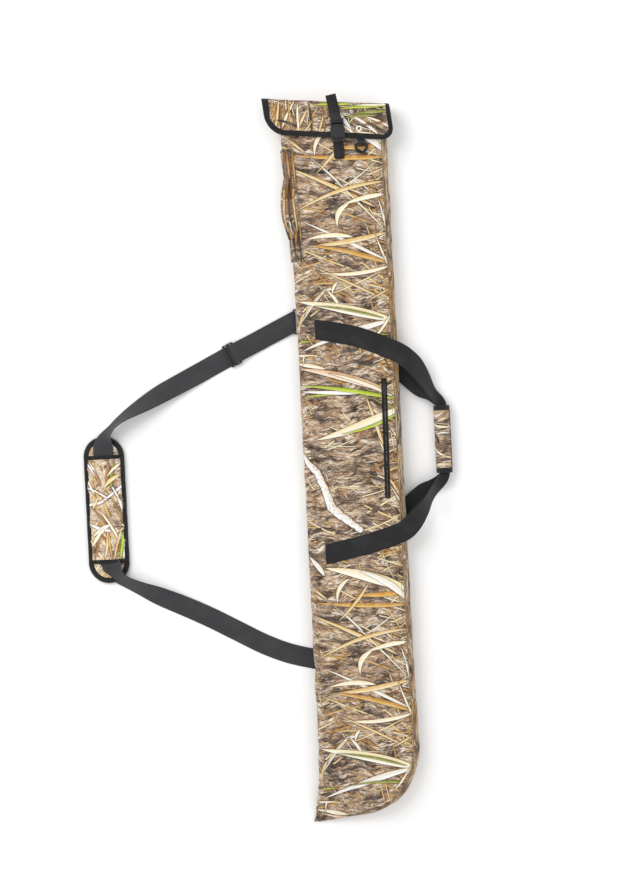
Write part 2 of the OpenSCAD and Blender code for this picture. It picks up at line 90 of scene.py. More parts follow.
def make_stage():
    scene = bpy.context.scene
    scene.view_settings.view_transform = "Standard"
    world = bpy.data.worlds.new("studio")
    scene.world = world
    world.use_nodes = True
    back = world.node_tree.nodes["Background"]
    back.inputs[0].default_value = (1.0, 1.0, 1.0, 1)
    back.inputs[1].default_value = WORLD_LIGHT
    area_light("key", (-1.9, 1.6, 2.6), (0, 0, 0), (2.2, 2.2), 62)
    area_light("fill", (1.6, -1.8, 2.9), (0, 0, 0), (2.6, 2.6), 22)
    me = bpy.data.meshes.new("floor")
    corners = [(x * FLOOR_HALF, y * FLOOR_HALF, FLOOR_Z) for x, y in ((-1, -1), (1, -1), (1, 1), (-1, 1))]
    me.from_pydata(corners, [], [(0, 1, 2, 3)])
    floor = bpy.data.objects.new("floor", me)
    scene.collection.objects.link(floor)
    mat = bpy.data.materials.new("paper_sweep")
    mat.use_nodes = True
    bsdf = mat.node_tree.nodes["Principled BSDF"]
    bsdf.inputs["Base Color"].default_value = (0.93, 0.93, 0.93, 1)
    bsdf.inputs["Roughness"].default_value = 0.95
    bsdf.inputs["Specular IOR Level"].default_value = 0.1
    me.materials.append(mat)


make_camera()
make_stage()


# ---- Node helpers --------------------------------------------------------------------------
class Tree:
    """A node tree that is written as expressions."""

    def __init__(self, tree):
        self.tree = tree

    def add(self, kind, inputs=None, **props):
        node = self.tree.nodes.new(kind)
        for key, value in props.items():
            setattr(node, key, value)
        for key, value in (inputs or {}).items():
            self.feed(node.inputs[key], value)
        return node

    def feed(self, socket, value):
        if isinstance(value, bpy.types.NodeSocket):
            self.tree.links.new(value, socket)
        elif isinstance(value, (tuple, list)) and socket.type == "RGBA" and len(value) == 3:
            socket.default_value = (*value, 1)
        else:
            socket.default_value = value

    def math(self, op, a, b=0.0, c=0.0, clamp=False):
        return self.add("ShaderNodeMath", {0: a, 1: b, 2: c}, operation=op, use_clamp=clamp).outputs[0]

    def times(self, a, b):
        return self.math("MULTIPLY", a, b)

    def mad(self, a, b, c, clamp=False):
        """a times b, plus c."""
        return self.math("MULTIPLY_ADD", a, b, c, clamp)

    def plus(self, a, b):
        return self.math("ADD", a, b)

    def minus(self, a, b):
        return self.math("SUBTRACT", a, b)

    def over(self, a, b, clamp=False):
        return self.math("DIVIDE", a, b, clamp=clamp)

    def most(self, a, b):
        return self.math("MAXIMUM", a, b)

    def size(self, a):
        return self.math("ABSOLUTE", a)

    def band(self, value, low, high, to_low=0.0, to_high=1.0, smooth=True):
        kind = "SMOOTHSTEP" if smooth else "LINEAR"
        return self.add("ShaderNodeMapRange", {0: value, 1: low, 2: high, 3: to_low, 4: to_high},
                        interpolation_type=kind).outputs[0]

    def mix(self, share, a, b, blend="MIX"):
        node = self.add("ShaderNodeMix", data_type="RGBA", blend_type=blend)
        for socket, value in ((node.inputs[0], share), (node.inputs[6], a), (node.inputs[7], b)):
            self.feed(socket, value)
        return node.outputs[2]

    def tint(self, colour, code, value, low, high, amount=1.0):
        """Mixes a colour code in as the value passes from low to high."""
        return self.mix(self.band(value, low, high, 0.0, amount), colour, rgb(code))

    def vector(self, op, inputs):
        return self.add("ShaderNodeVectorMath", inputs, operation=op).outputs[0]

    def point(self, x, y):
        return self.add("ShaderNodeCombineXYZ", {0: x, 1: y}).outputs[0]

    def cells(self, vector, scale=1.0, **props):
        return self.add("ShaderNodeTexVoronoi", {"Vector": vector, "Scale": scale}, **props).outputs

    def group(self, tree, inputs):
        return self.add("ShaderNodeGroup", inputs, node_tree=tree).outputs

    def mapped(self, vector, location=(0, 0, 0), rotation=0.0, scale=(1, 1, 1)):
        return self.add("ShaderNodeMapping", {0: vector, 1: location, 2: (0, 0, rotation), 3: scale},
                        vector_type="TEXTURE").outputs[0]

    def noise(self, vector, scale, detail=3.0, rough=0.55, distort=0.0):
        return self.add("ShaderNodeTexNoise", {"Vector": vector, "Scale": scale, "Detail": detail,
                        "Roughness": rough, "Distortion": distort}, noise_dimensions="2D").outputs[0]

    def ramp(self, value, stops):
        node = self.add("ShaderNodeValToRGB", {0: value})
        ramp = node.color_ramp
        while len(ramp.elements) < len(stops):
            ramp.elements.new(0.5)
        for element, (place, colour) in zip(ramp.elements, stops):
            element.position = place
            element.color = (*rgb(colour), 1)
        return node.outputs[0]

    def xyz(self, vector):
        return self.add("ShaderNodeSeparateXYZ", {0: vector}).outputs


def rgb(code):
    """A linear colour from an sRGB hex code."""
    parts = [int(code[i:i + 2], 16) / 255 for i in (0, 2, 4)]
    return tuple(p / 12.92 if p <= 0.04045 else ((p + 0.055) / 1.055) ** 2.4 for p in parts)


def new_group(name, inputs, outputs):
    group = bpy.data.node_groups.new(name, "ShaderNodeTree")
    for label, kind in inputs:
        group.interface.new_socket(label, in_out="INPUT", socket_type=kind)
    for label, kind in outputs:
        group.interface.new_socket(label, in_out="OUTPUT", socket_type=kind)
    t = Tree(group)
    return group, t, t.add("NodeGroupInput").outputs, t.add("NodeGroupOutput")


def new_material(name):
    mat = bpy.data.materials.new(name)
    mat.use_nodes = True
    t = Tree(mat.node_tree)
    return mat, t, mat.node_tree.nodes["Principled BSDF"]


def finish_material(t, bsdf, colour, rough, height, depth, specular=0.3, sheen=0.0, metallic=0.0):
    t.feed(bsdf.inputs["Base Color"], colour)
    t.feed(bsdf.inputs["Roughness"], rough)
    bsdf.inputs["Specular IOR Level"].default_value = specular
    bsdf.inputs["Sheen Weight"].default_value = sheen
    bsdf.inputs["Sheen Roughness"].default_value = 0.5
    bsdf.inputs["Metallic"].default_value = metallic
    bump = t.add("ShaderNodeBump", {"Height": height, "Strength": 1.0, "Distance": depth})
    t.feed(bsdf.inputs["Normal"], bump.outputs[0])


def uv_mm(t):
    """The print's own coordinates, in millimetres."""
    uv = t.add("ShaderNodeTexCoord").outputs["UV"]
    return t.vector("SCALE", {0: uv, 3: 1 / MM})


def object_mm(t):
    place = t.add("ShaderNodeTexCoord").outputs["Object"]
    return t.vector("SCALE", {0: place, 3: 1 / MM})


def sine(t, value, pitch):
    return t.math("SINE", t.times(value, 2 * math.pi / pitch))


# ---- The printed fabric --------------------------------------------------------------------
def blade_group():
    """One tapering leaf painted over what is under it. Its own axis runs from -1 to 1."""
    group, t, i, out = new_group("blade", [("Local", "NodeSocketVector"), ("Half", "NodeSocketFloat"),
        ("Bend", "NodeSocketFloat"), ("Tip", "NodeSocketFloat"), ("Light", "NodeSocketColor"),
        ("Dark", "NodeSocketColor"), ("Fibre", "NodeSocketFloat"), ("Under", "NodeSocketColor")],
        [("Colour", "NodeSocketColor")])
    part = t.xyz(i["Local"])
    square = t.times(part[0], part[0])
    across = t.minus(part[1], t.times(i["Bend"], t.minus(1.0, square)))
    taper = t.mad(part[0], i["Tip"], 1.0)
    reach = t.times(t.most(t.minus(1.0, square), 0.0),
                   t.most(taper, 0.0))
    half = t.times(t.math("POWER", t.most(reach, 0.0), 0.75), i["Half"])
    inside = t.minus(half, t.size(across))
    grown = t.minus(inside, t.times(t.math("GREATER_THAN", square, 1.0), 50.0))
    side = t.over(across, t.most(half, 0.3))
    shade = t.mad(side, 0.42, t.mad(i["Fibre"], 0.9, 0.05), clamp=True)
    rib = t.band(t.size(side), 0.0, 0.22, 0.35, 0.0)
    leaf = t.mix(shade, i["Light"], i["Dark"])
    leaf = t.mix(rib, leaf, i["Dark"])
    leaf = t.tint(leaf, "6b4f33", inside, 0.9, 0.0, 0.45)
    under = t.mix(t.band(grown, -3.0, 0.4, 0.0, 0.62), i["Under"], rgb("2c241f"))
    t.feed(out.inputs[0], t.mix(t.band(grown, -0.35, 0.35), under, leaf))
    return group


def straw_group():
    """Many short random blades, one in each cell of a stretched cell pattern."""
    group, t, i, out = new_group("straws", [("Place", "NodeSocketVector"), ("Turn", "NodeSocketFloat"),
        ("Long", "NodeSocketFloat"), ("Short", "NodeSocketFloat"), ("Half", "NodeSocketFloat"),
        ("Share", "NodeSocketFloat"), ("Fibre", "NodeSocketFloat"), ("Under", "NodeSocketColor")],
        [("Colour", "NodeSocketColor")])
    turned = t.add("ShaderNodeVectorRotate", {"Vector": i["Place"], "Angle": i["Turn"]},
                   rotation_type="Z_AXIS").outputs[0]
    part = t.xyz(turned)
    cell = t.point(t.over(part[0], i["Long"]), t.over(part[1], i["Short"]))
    found = t.cells(cell, voronoi_dimensions="2D")
    offset = t.xyz(t.vector("SUBTRACT", {0: cell, 1: found["Position"]}))
    dice = t.add("ShaderNodeSeparateColor", {0: found["Color"]}).outputs
    along = t.over(offset[0], 0.62)
    square = t.times(along, along)
    tilt = t.times(t.minus(dice[0], 0.5), 0.34)
    across = t.plus(t.times(offset[1], i["Short"]),
                    t.times(t.times(offset[0], i["Long"]), tilt))
    bow = t.times(t.minus(dice[1], 0.5), i["Short"])
    across = t.mad(bow, square, across)
    half = t.times(t.minus(1.0, square),
                  t.times(i["Half"], t.mad(dice[1], 1.1, 0.35)))
    inside = t.minus(half, t.size(across))
    here = t.math("LESS_THAN", dice[2], i["Share"])
    side = t.over(across, t.most(half, 0.3))
    tone = t.ramp(t.mad(t.minus(i["Fibre"], 0.5), 0.6, dice[1], clamp=True),
                  [(0.0, "fdf6e0"), (0.3, "ecd6a8"), (0.55, "cfac74"), (0.8, "a07c4c"), (1.0, "7a5a3a")])
    tone = t.tint(tone, "5d452e", side, 0.1, 0.9, 0.55)
    dark = t.times(here, t.band(inside, -2.2, 0.3, 0.0, 0.45))
    under = t.mix(dark, i["Under"], rgb("30261f"))
    t.feed(out.inputs[0], t.mix(t.times(here, t.band(inside, -0.3, 0.3)), under, tone))
    return group


def bark_group():
    """Grey-brown bark whose grain runs along X, with dark ridges and pale flecks."""
    group, t, i, out = new_group("bark", [("Place", "NodeSocketVector")],
                                 [("Colour", "NodeSocketColor"), ("Fibre", "NodeSocketFloat")])
    wander = t.noise(i["Place"], 0.011, 2.0)
    push = t.point(0.0, t.mad(wander, 46.0, -23.0))
    place = t.vector("ADD", {0: i["Place"], 1: push})
    grain = t.noise(t.mapped(place, scale=(30, 7.0, 1)), 1.0, 6.0, 0.64, 0.4)
    fine = t.noise(t.mapped(place, scale=(9, 2.2, 1)), 1.0, 4.0, 0.62)
    zone = t.noise(i["Place"], 0.021, 3.0)
    shift = t.noise(place, 0.07, 2.0)
    shifted = t.point(t.mad(shift, 20.0, -10.0), t.mad(fine, 12.0, -6.0))
    plate = t.mapped(t.vector("ADD", {0: place, 1: shifted}), scale=(38, 8.5, 1))
    cell = t.cells(plate, voronoi_dimensions="2D")["Color"]
    rim = t.cells(plate, voronoi_dimensions="2D", feature="DISTANCE_TO_EDGE")["Distance"]
    own = t.add("ShaderNodeSeparateColor", {0: cell}).outputs
    body = t.mad(fine, 0.4, t.times(grain, 0.72))
    body = t.plus(body, t.mad(own[0], 0.15, -0.08))
    colour = t.ramp(body, [(0.33, "1a1310"), (0.43, "47392d"), (0.515, "7f6a56"), (0.59, "b79d82"),
                           (0.70, "efe0cc")])
    colour = t.tint(colour, "8a6a50", own[1], 0.5, 0.9, 0.45)
    warm = t.mix(t.band(zone, 0.42, 0.6), colour, rgb("8a7360"))
    colour = t.mix(t.band(zone, 0.35, 0.7, 0.0, 0.45), colour, warm)
    colour = t.tint(colour, "cfb090", t.noise(i["Place"], 0.0085, 2.0), 0.42, 0.62, 0.4)
    colour = t.tint(colour, "2a211c", rim, 0.08, 0.01, 0.45)
    ridge = t.noise(t.mapped(place, (13, 40, 0), scale=(74, 7.0, 1)), 1.0, 5.0, 0.6, 0.6)
    line = t.size(t.minus(ridge, 0.5))
    colour = t.tint(colour, "1d1613", line, 0.034, 0.004, 0.92)
    lit = t.size(t.minus(ridge, 0.54))
    colour = t.tint(colour, "d9cdc0", lit, 0.016, 0.0, 0.5)
    fleck = t.noise(t.mapped(place, (70, 10, 0), scale=(17, 6, 1)), 1.0, 5.0, 0.7)
    patch = t.band(t.noise(i["Place"], 0.016, 1.0), 0.46, 0.58)
    colour = t.mix(t.times(t.band(fleck, 0.55, 0.62), t.mad(patch, 0.6, 0.08)), colour, rgb("efe2d6"))
    dark = t.noise(t.mapped(place, (9, 90, 0), scale=(52, 15, 1)), 1.0, 6.0, 0.68)
    colour = t.tint(colour, "32261f", dark, 0.50, 0.60, 0.72)
    t.feed(out.inputs[0], colour)
    t.feed(out.inputs[1], fine)
    return group


BLADE, STRAWS, BARK = blade_group(), straw_group(), bark_group()

TONES = {
    "cream": ("fffbe9", "e3c997"), "tan": ("f5dfb4", "bd935c"), "gold": ("e2ba78", "946a38"),
    "pale": ("ffffff", "d9c7a8"), "pink": ("f9e6d0", "c0906c"), "green": ("c9d65a", "7f9132"),
    "olive": ("a9ae5c", "5f6531"), "birch": ("ffffff", "c9ae8e"), "brown": ("a9855a", "6a4d33"),
    "lime": ("b4d650", "789836"), "orange": ("e3b76c", "a9783e"), "white": ("ffffff", "e4dccd"),
    "dark": ("4a4036", "2c2520"),
}


def after(t, place, colour):
    """The same place, worked out only once the colour is, so that few values are held at a time."""
    return t.vector("MULTIPLY_ADD", {0: colour, 1: (1e-7, 1e-7, 1e-7), 2: place})


def paint_blades(t, place, fibre, colour, blades):
    """Lays the listed leaves (start, end, half width, bend, tone) over the colour, in order."""
    for x0, y0, x1, y1, half, bend, tone in blades:
        long = math.hypot(x1 - x0, y1 - y0) / 2
        middle = ((x0 + x1) / 2, (y0 + y1) / 2, 0)
        local = t.mapped(after(t, place, colour), middle, math.atan2(y1 - y0, x1 - x0), (long, 1, 1))
        light, dark = TONES[tone]
        colour = t.group(BLADE, {"Local": local, "Half": half, "Bend": bend, "Tip": 0.45, "Light": rgb(light),
                                 "Dark": rgb(dark), "Fibre": fibre, "Under": colour})[0]
    return colour


def paint_branch(t, place, fibre, colour, line, tone, knots=2.4):
    """A knobbly twig through (x, y, half width) points, laid over the colour."""
    light, dark = TONES[tone]
    here = after(t, place, colour)
    lump = t.mad(t.noise(here, 0.11, 3.0, 0.6), 2 * knots, -knots)
    inside, across = None, None
    for (x0, y0, w0), (x1, y1, w1) in zip(line, line[1:]):
        long = math.hypot(x1 - x0, y1 - y0)
        local = t.xyz(t.mapped(here, (x0, y0, 0), math.atan2(y1 - y0, x1 - x0)))
        along = t.over(local[0], long, clamp=True)
        past = t.minus(local[0], t.times(along, long))
        off = t.math("SQRT", t.mad(past, past, t.times(local[1], local[1])))
        depth = t.minus(t.mad(along, w1 - w0, w0), off)
        inside = depth if inside is None else t.most(inside, depth)
        side = t.over(local[1], max(w0, w1))
        if across is None:
            across = side
        else:
            across = t.mix(t.math("GREATER_THAN", depth, t.minus(inside, 0.01)), across, side)
    inside = t.plus(inside, lump)
    shade = t.mad(across, 0.5, t.mad(fibre, 1.2, -0.25), clamp=True)
    bark = t.mix(shade, rgb(light), rgb(dark))
    speck = t.noise(t.mapped(here, scale=(3.4, 5, 1)), 1.0, 3.0, 0.7)
    bark = t.tint(bark, "5b4534", speck, 0.58, 0.66, 0.75)
    bark = t.tint(bark, "6a4f3a", inside, 1.3, 0.0, 0.6)
    under = t.tint(colour, "231b16", inside, -4.5, 0.4, 0.7)
    return t.mix(t.band(inside, -0.4, 0.4), under, bark)


def paint_straws(t, place, fibre, colour, turn, long, short, half, share):
    return t.group(STRAWS, {"Place": after(t, place, colour), "Turn": math.radians(turn), "Long": long,
                            "Short": short, "Half": half, "Share": share, "Fibre": fibre, "Under": colour})[0]


def weave(t, place, pitch):
    part = t.xyz(place)
    return t.times(sine(t, part[0], pitch), sine(t, part[1], pitch))


# The leaves of the body's print, in the front's own millimetres. The print repeats along the bag.
REPEAT = 847.0
PRINT_FROM = -645.0
PRINT_HALF = 117.0
WEAVE = 0.9
BODY_BLADES = [
    (98, -406, 92, -560, 3.4, 2, "tan"), (92, -250, 97, -420, 2.4, -2, "cream"),
    (88, 140, 93, -10, 2.2, 2, "tan"), (93, 10, 90, -110, 2.0, -3, "pale"),
    (97, -540, 90, -640, 2.8, 2, "gold"), (-89, -264, 92, -275, 4.6, -3, "gold"),
    (-98, -286, 66, -370, 3.6, 3, "tan"), (-66, -257, 90, -424, 1.4, 3, "cream"),
    (-42, -278, 2, -323, 1.6, 0, "pale"), (-94, -232, -62, -260, 2.0, 0, "tan"),
    (-16, -253, 84, -252, 4.4, -2, "orange"), (-64, -200, 92, -248, 9.5, 5, "cream"),
    (0, -208, 92, -270, 6.0, 8, "pale"), (-45, -302, 16, -233, 2.8, -3, "tan"),
    (-44, -268, -20, -222, 3.6, 9, "cream"), (-90, -374, 86, -322, 3.4, 12, "tan"),
    (4, -362, 84, -346, 4.2, 3, "cream"), (-8, -404, 16, -360, 4.8, 10, "cream"),
    (-78, -388, 92, -478, 3.0, 2, "pale"), (-68, -425, 20, -424, 4.2, 6, "cream"),
    (-70, -438, 84, -418, 4.8, -4, "tan"), (-66, -436, 92, -480, 4.6, 6, "gold"),
    (-50, -488, 92, -480, 3.6, -9, "cream"), (-64, -474, 78, -548, 2.0, 2, "tan"),
    (41, -546, 92, -520, 1.8, 0, "tan"), (70, -352, 94, -470, 2.8, 3, "pale"),
    (62, -420, 94, -500, 2.0, -2, "cream"), (-97, -608, -78, -562, 3.0, 3, "tan"),
    (-80, -568, -38, -522, 3.0, 1, "cream"), (-92, -590, -44, -528, 1.4, 1, "pale"),
    (-42, -521, -18, -520, 2.2, 0, "pale"), (-36, -520, -12, -553, 2.8, 2, "cream"),
    (-24, -530, -14, -508, 2.6, 3, "cream"), (-92, -541, 92, -586, 8.2, 4, "cream"),
    (-60, -550, 70, -580, 2.2, 4, "olive"), (-88, -636, 86, -584, 5.4, 5, "pale"),
    (-98, -617, -68, -617, 1.6, 0, "green"), (-38, -611, 84, -612, 2.6, 4, "olive"),
    (-110, -642, -42, -650, 3.2, 1, "cream"), (-108, 190, -44, 176, 3.6, 1, "cream"),
    (40, -628, 92, -560, 2.4, -3, "cream"), (28, 124, 58, 22, 3.2, 1, "tan"),
    (-96, 124, 54, 126, 3.0, 4, "green"), (-96, 136, 30, 128, 3.6, -1, "white"),
    (-98, 148, 92, 112, 3.8, 4, "green"), (-98, 180, 76, 126, 7.0, 6, "pink"),
    (-40, 168, 84, 116, 3.0, 5, "cream"), (36, 120, 92, 96, 2.0, -3, "olive"),
    (-68, 43, 96, 98, 8.4, -5, "cream"), (-20, 52, 90, 88, 2.8, -6, "green"),
    (-98, -176, -66, -214, 4.4, 3, "pale"), (-94, 222, -24, 224, 1.8, 4, "tan"),
    (-88, 184, -74, 232, 2.2, 2, "cream"), (48, 40, 66, -12, 1.8, 1, "cream"),
    (60, -30, 84, -70, 2.2, 2, "tan"), (70, 66, 96, 30, 1.6, -2, "cream"),
    (94, 200, 86, 60, 1.8, 2, "cream"), (97, 90, 91, -60, 2.2, -2, "gold"),
    (88, 0, 96, -160, 1.6, 2, "pale"), (96, -120, 88, -240, 2.4, 2, "tan"),
    (97, -200, 92, -330, 1.8, -2, "pale"), (98, -330, 90, -430, 1.8, 2, "cream"),
    (90, -470, 98, -590, 1.8, 2, "cream"), (80, -520, 97, -630, 2.0, 3, "tan"),
    (74, 14, 96, -20, 1.8, 1, "brown"), (64, -46, 92, -100, 1.4, 2, "pale"),
    (78, -90, 94, -140, 2.2, 3, "white"), (86, 150, 98, 96, 2.0, 2, "white"),
]

BODY_BRANCHES = [([(-99, 12, 5.5), (-70, -18, 6.4), (-56, -52, 6.6), (-46, -86, 8.2), (-26, -104, 7.4),
                   (6, -130, 5.6)], "birch")]

# How the print's tones are pulled apart, so that its ink has the depth of a real print.
CRISP = [(0.04, 0.026), (0.14, 0.112), (0.32, 0.345), (0.6, 0.7)]


def camo_fabric(name, blades, straws, wrap=False, lift=1.0, wash=None, branches=()):
    """The camouflage print: bark, then straws, twigs and leaves over it, then the weave."""
    mat, t, bsdf = new_material(name)
    place = uv_mm(t)
    where = place
    if wrap:
        part = t.xyz(place)
        down = t.math("FLOORED_MODULO", t.minus(part[1], PRINT_FROM), REPEAT)
        side = t.math("FLOORED_MODULO", t.plus(part[0], PRINT_HALF), 2 * PRINT_HALF)
        where = t.point(t.minus(side, PRINT_HALF), t.plus(down, PRINT_FROM))
    colour, fibre = t.group(BARK, {0: where})
    part = t.xyz(where)
    clump = t.noise(where, 0.016, 2.0)
    seam = t.band(part[0], 30.0, 90.0, 0.0, 0.6)
    for turn, long, short, half, share, near in straws:
        amount = t.times(t.band(clump, 0.42, 0.62), share)
        if near:
            amount = t.mad(seam, near, amount)
        colour = paint_straws(t, where, fibre, colour, turn, long, short, half, amount)
    if wash:
        tint, low, high = wash
        colour = t.mix(t.band(t.noise(where, 0.045, 3.0), 0.36, 0.62, low, high), colour, rgb(tint))
    for line, tone in branches:
        colour = paint_branch(t, where, fibre, colour, line, tone, 2.4 if line[0][2] > 4 else 0.9)
    colour = paint_blades(t, where, fibre, colour, blades)
    worn = t.noise(place, 0.05, 3.0)
    colour = t.tint(colour, "f2ebe2", worn, 0.35, 0.75, 0.12)
    if lift != 1.0:
        colour = t.add("ShaderNodeHueSaturation", {"Value": lift, "Color": colour}).outputs[0]
    crisp = t.add("ShaderNodeRGBCurve", {"Color": colour})
    for dark, light in CRISP:
        crisp.mapping.curves[3].points.new(dark, light)
    crisp.mapping.update()
    colour = crisp.outputs[0]
    threads = weave(t, place, WEAVE)
    colour = t.mix(t.mad(threads, 0.05, 0.05), colour, rgb("4a4038"))
    rough = t.band(threads, -1.0, 1.0, 0.66, 0.8, False)
    pucker = t.noise(place, 0.25, 2.0)
    height = t.mad(pucker, 1.6, t.times(threads, 0.22))
    finish_material(t, bsdf, colour, rough, height, 0.00035, specular=0.25, sheen=0.12)
    return mat


# Straws: turn in degrees, cell length and width, half width, share, and extra share near the right edge.
BODY_STRAWS = [(-36, 130, 17, 2.6, 0.14, 0.7), (44, 120, 16, 2.3, 0.14, 0.7), (0, 80, 9, 1.4, 0.3, 0.9),
               (24, 110, 13, 2.0, 0.3, 1.2), (-20, 100, 12, 1.9, 0.26, 1.1), (70, 60, 10, 1.2, 0.1, 1.0)]
M_BODY = camo_fabric("camo_body", BODY_BLADES, BODY_STRAWS, wrap=True, branches=BODY_BRANCHES)
EDGE_STRAWS = [(2, 90, 7, 1.4, 0.9, 0), (-8, 120, 10, 2.0, 0.9, 0), (12, 60, 8, 1.2, 0.7, 0)]
EDGE_BLADES = [(-1290 + 97 * k + 31 * (k % 3), 6 + 5 * (k % 4), -1210 + 97 * k + 22 * (k % 4), 16 + 3 * (k % 3),
                2.2 + 0.7 * (k % 3), 2 - k % 4, ("white", "cream", "tan", "pale")[k % 4]) for k in range(14)]
# The right gusset's print is darkened a little (lift 0.96) as painted shade for that side, which faces away from the
# key light; its reeds and leaves are print.
M_EDGE = camo_fabric("camo_gusset", EDGE_BLADES, EDGE_STRAWS, lift=0.96, wash=("c9a469", 0.0, 0.22))
FLAP_BLADES = [
    (-120, -66, -84, 6, 2.0, 2, "gold"), (-104, -70, -96, 4, 2.4, -2, "tan"),
    (-92, -68, -66, 4, 2.2, 3, "cream"), (-84, -66, -92, -4, 1.8, 2, "brown"),
    (-70, -68, -42, -10, 2.4, -2, "tan"), (-64, -62, -78, 2, 1.6, 2, "gold"),
    (-52, -70, -60, 0, 2.0, 2, "cream"), (-44, -64, -20, -4, 2.0, 3, "gold"),
    (-30, -62, -40, 2, 1.6, -2, "dark"), (-100, -34, -60, -46, 1.8, 3, "dark"),
    (-30, -30, -52, -62, 1.6, 2, "tan"), (-20, -66, -10, -20, 1.8, 0, "tan"),
    (0, 4, 50, -60, 3.6, 3, "white"), (30, -14, 98, -56, 2.6, 4, "pale"),
    (18, -34, 64, -66, 2.6, 2, "cream"), (46, -50, 116, -62, 2.4, 3, "cream"),
    (64, -20, 118, -40, 2.2, 3, "cream"), (56, -36, 112, -26, 2.0, -3, "brown"),
    (-30, -2, 40, 2, 3.0, 1, "green"), (20, -8, 110, 2, 3.6, 2, "green"),
    (40, -18, 116, -8, 3.0, 2, "olive"), (44, 0, 118, 4, 2.0, 0, "cream"),
    (26, -26, 90, -18, 2.2, 3, "olive"), (70, -30, 118, -58, 2.0, 2, "dark"),
]
FLAP_STRAWS = [(78, 50, 7, 1.5, 0.8, 0), (-64, 60, 9, 1.3, 0.6, 0), (20, 60, 9, 1.4, 0.4, 0)]
M_FLAP = camo_fabric("camo_flap", FLAP_BLADES, FLAP_STRAWS)
PAD_BLADES = [
    (-34, 92, -14, 60, 2.2, 1, "white"), (-30, 96, -6, 40, 2.0, 2, "pale"),
    (-34, 70, -20, 30, 1.6, -2, "pale"), (-22, 78, -8, 44, 2.6, 2, "brown"),
    (8, 96, 4, 44, 4.4, 2, "brown"), (20, 92, 12, 40, 3.4, -2, "olive"), (-12, 34, -30, -4, 1.8, 2, "tan"),
    (20, 26, 30, -2, 1.8, 2, "pale"), (10, 24, 30, -26, 2.6, 3, "brown"),
    (-4, 20, 8, -16, 2.4, -2, "gold"), (-30, 8, 2, -30, 1.6, 1, "brown"),
    (-14, 2, 22, -60, 2.0, 2, "cream"), (-34, -24, 8, -40, 3.0, -3, "white"),
    (-28, -50, 6, -28, 3.6, 2, "pale"), (-30, -70, -4, -34, 3.2, 2, "cream"),
    (-26, -96, -10, -44, 2.4, 2, "brown"), (-8, -96, 0, -40, 2.6, -2, "tan"),
    (8, -94, 2, -44, 1.8, 2, "gold"), (10, -98, 26, -40, 2.4, 1, "tan"),
    (22, -98, 34, -34, 3.0, 1, "lime"), (28, -98, 38, -46, 2.4, 1, "white"),
    (14, -96, 24, -56, 2.0, 0, "brown"), (4, 62, 32, 88, 2.2, 2, "cream"), (-4, 40, 28, 66, 3.6, 3, "tan"),
]
PAD_BRANCHES = [([(-36, 10, 2.6), (-10, 14, 2.2), (10, 28, 2.4), (34, 46, 2.2)], "white"),
                ([(-34, 44, 1.8), (-18, 36, 1.6), (0, 24, 1.6)], "white"),
                ([(12, 46, 1.5), (20, 30, 1.7), (30, 12, 1.3)], "white")]
PAD_STRAWS = [(70, 50, 8, 1.8, 1.0, 0), (35, 60, 10, 2.0, 0.9, 0), (-60, 60, 9, 1.8, 0.9, 0),
              (84, 44, 7, 1.3, 0.9, 0), (-30, 50, 8, 1.6, 0.8, 0), (55, 60, 9, 2.0, 0.8, 0)]
M_PAD = camo_fabric("camo_pad", PAD_BLADES, PAD_STRAWS, lift=1.24, wash=("dcc8b4", 0.05, 0.36),
                    branches=PAD_BRANCHES)
GRIP_BLADES = [(-20, 38, 14, 24, 2.0, -7, "cream"), (4, 30, 12, 2, 1.8, 5, "cream"), (-14, 6, 10, 10, 1.4, 4, "pale"),
               (-16, -6, 6, -34, 1.6, -5, "cream"), (-6, -34, 16, -40, 1.8, 3, "tan"), (-20, 20, -6, -10, 1.6, 3, "dark")]
M_GRIP = camo_fabric("camo_grip", GRIP_BLADES, [(10, 40, 9, 0.9, 0.3, 0)])
GRAB_BLADES = [(-4, 390, 4, 470, 2.0, 1, "orange"), (3, 430, -2, 520, 1.8, 1, "tan"), (-6, 500, 2, 590, 2.4, 1, "brown"),
               (5, 520, 7, 596, 1.6, 0, "orange"), (-2, 500, 1, 522, 2.4, 0, "orange"), (6, 384, 2, 440, 1.6, 0, "dark")]
M_GRAB = camo_fabric("camo_grab", GRAB_BLADES, [(86, 70, 5, 1.3, 0.8, 0)], lift=0.85)


# ---- Webbing, binding and hard materials -----------------------------------------------------
def webbing_material(name, base, light, cross, along):
    """Flat woven tape: UV x runs across it and UV y along it."""
    mat, t, bsdf = new_material(name)
    place = uv_mm(t)
    part = t.xyz(place)
    rows = t.times(sine(t, part[0], cross), sine(t, part[1], along))
    herring = sine(t, t.plus(part[1], t.times(t.math("PINGPONG", part[0], cross * 2), 0.7)), along)
    height = t.mad(herring, 0.6, rows)
    fuzz = t.noise(place, 1.3, 3.0)
    soil = t.noise(place, 0.03, 3.0)
    colour = t.mix(t.band(height, -1.3, 1.5), rgb(base), rgb(light))
    colour = t.tint(colour, "6d6866", soil, 0.4, 0.75, 0.08)
    colour = t.mix(t.band(fuzz, 0.55, 0.8, 0.0, 0.25), colour, rgb(light))
    finish_material(t, bsdf, colour, t.band(fuzz, 0.2, 0.8, 0.6, 0.82), height, 0.00022, specular=0.3, sheen=0.15)
    return mat


def plastic_material(name, base, light, rough, depth=0.00006, specular=0.45):
    mat, t, bsdf = new_material(name)
    place = object_mm(t)
    grain = t.add("ShaderNodeTexNoise", {"Vector": place, "Scale": 2.2, "Detail": 4.0}).outputs[0]
    cloud = t.add("ShaderNodeTexNoise", {"Vector": place, "Scale": 0.12, "Detail": 3.0}).outputs[0]
    colour = t.mix(t.band(cloud, 0.35, 0.7), rgb(base), rgb(light))
    edge = t.band(t.add("ShaderNodeNewGeometry").outputs["Pointiness"], 0.5, 0.58, 0.0, 0.35)
    colour = t.mix(edge, colour, rgb("47474a"))
    finish_material(t, bsdf, colour, t.band(cloud, 0.3, 0.7, rough, rough + 0.14), grain, depth, specular=specular)
    return mat


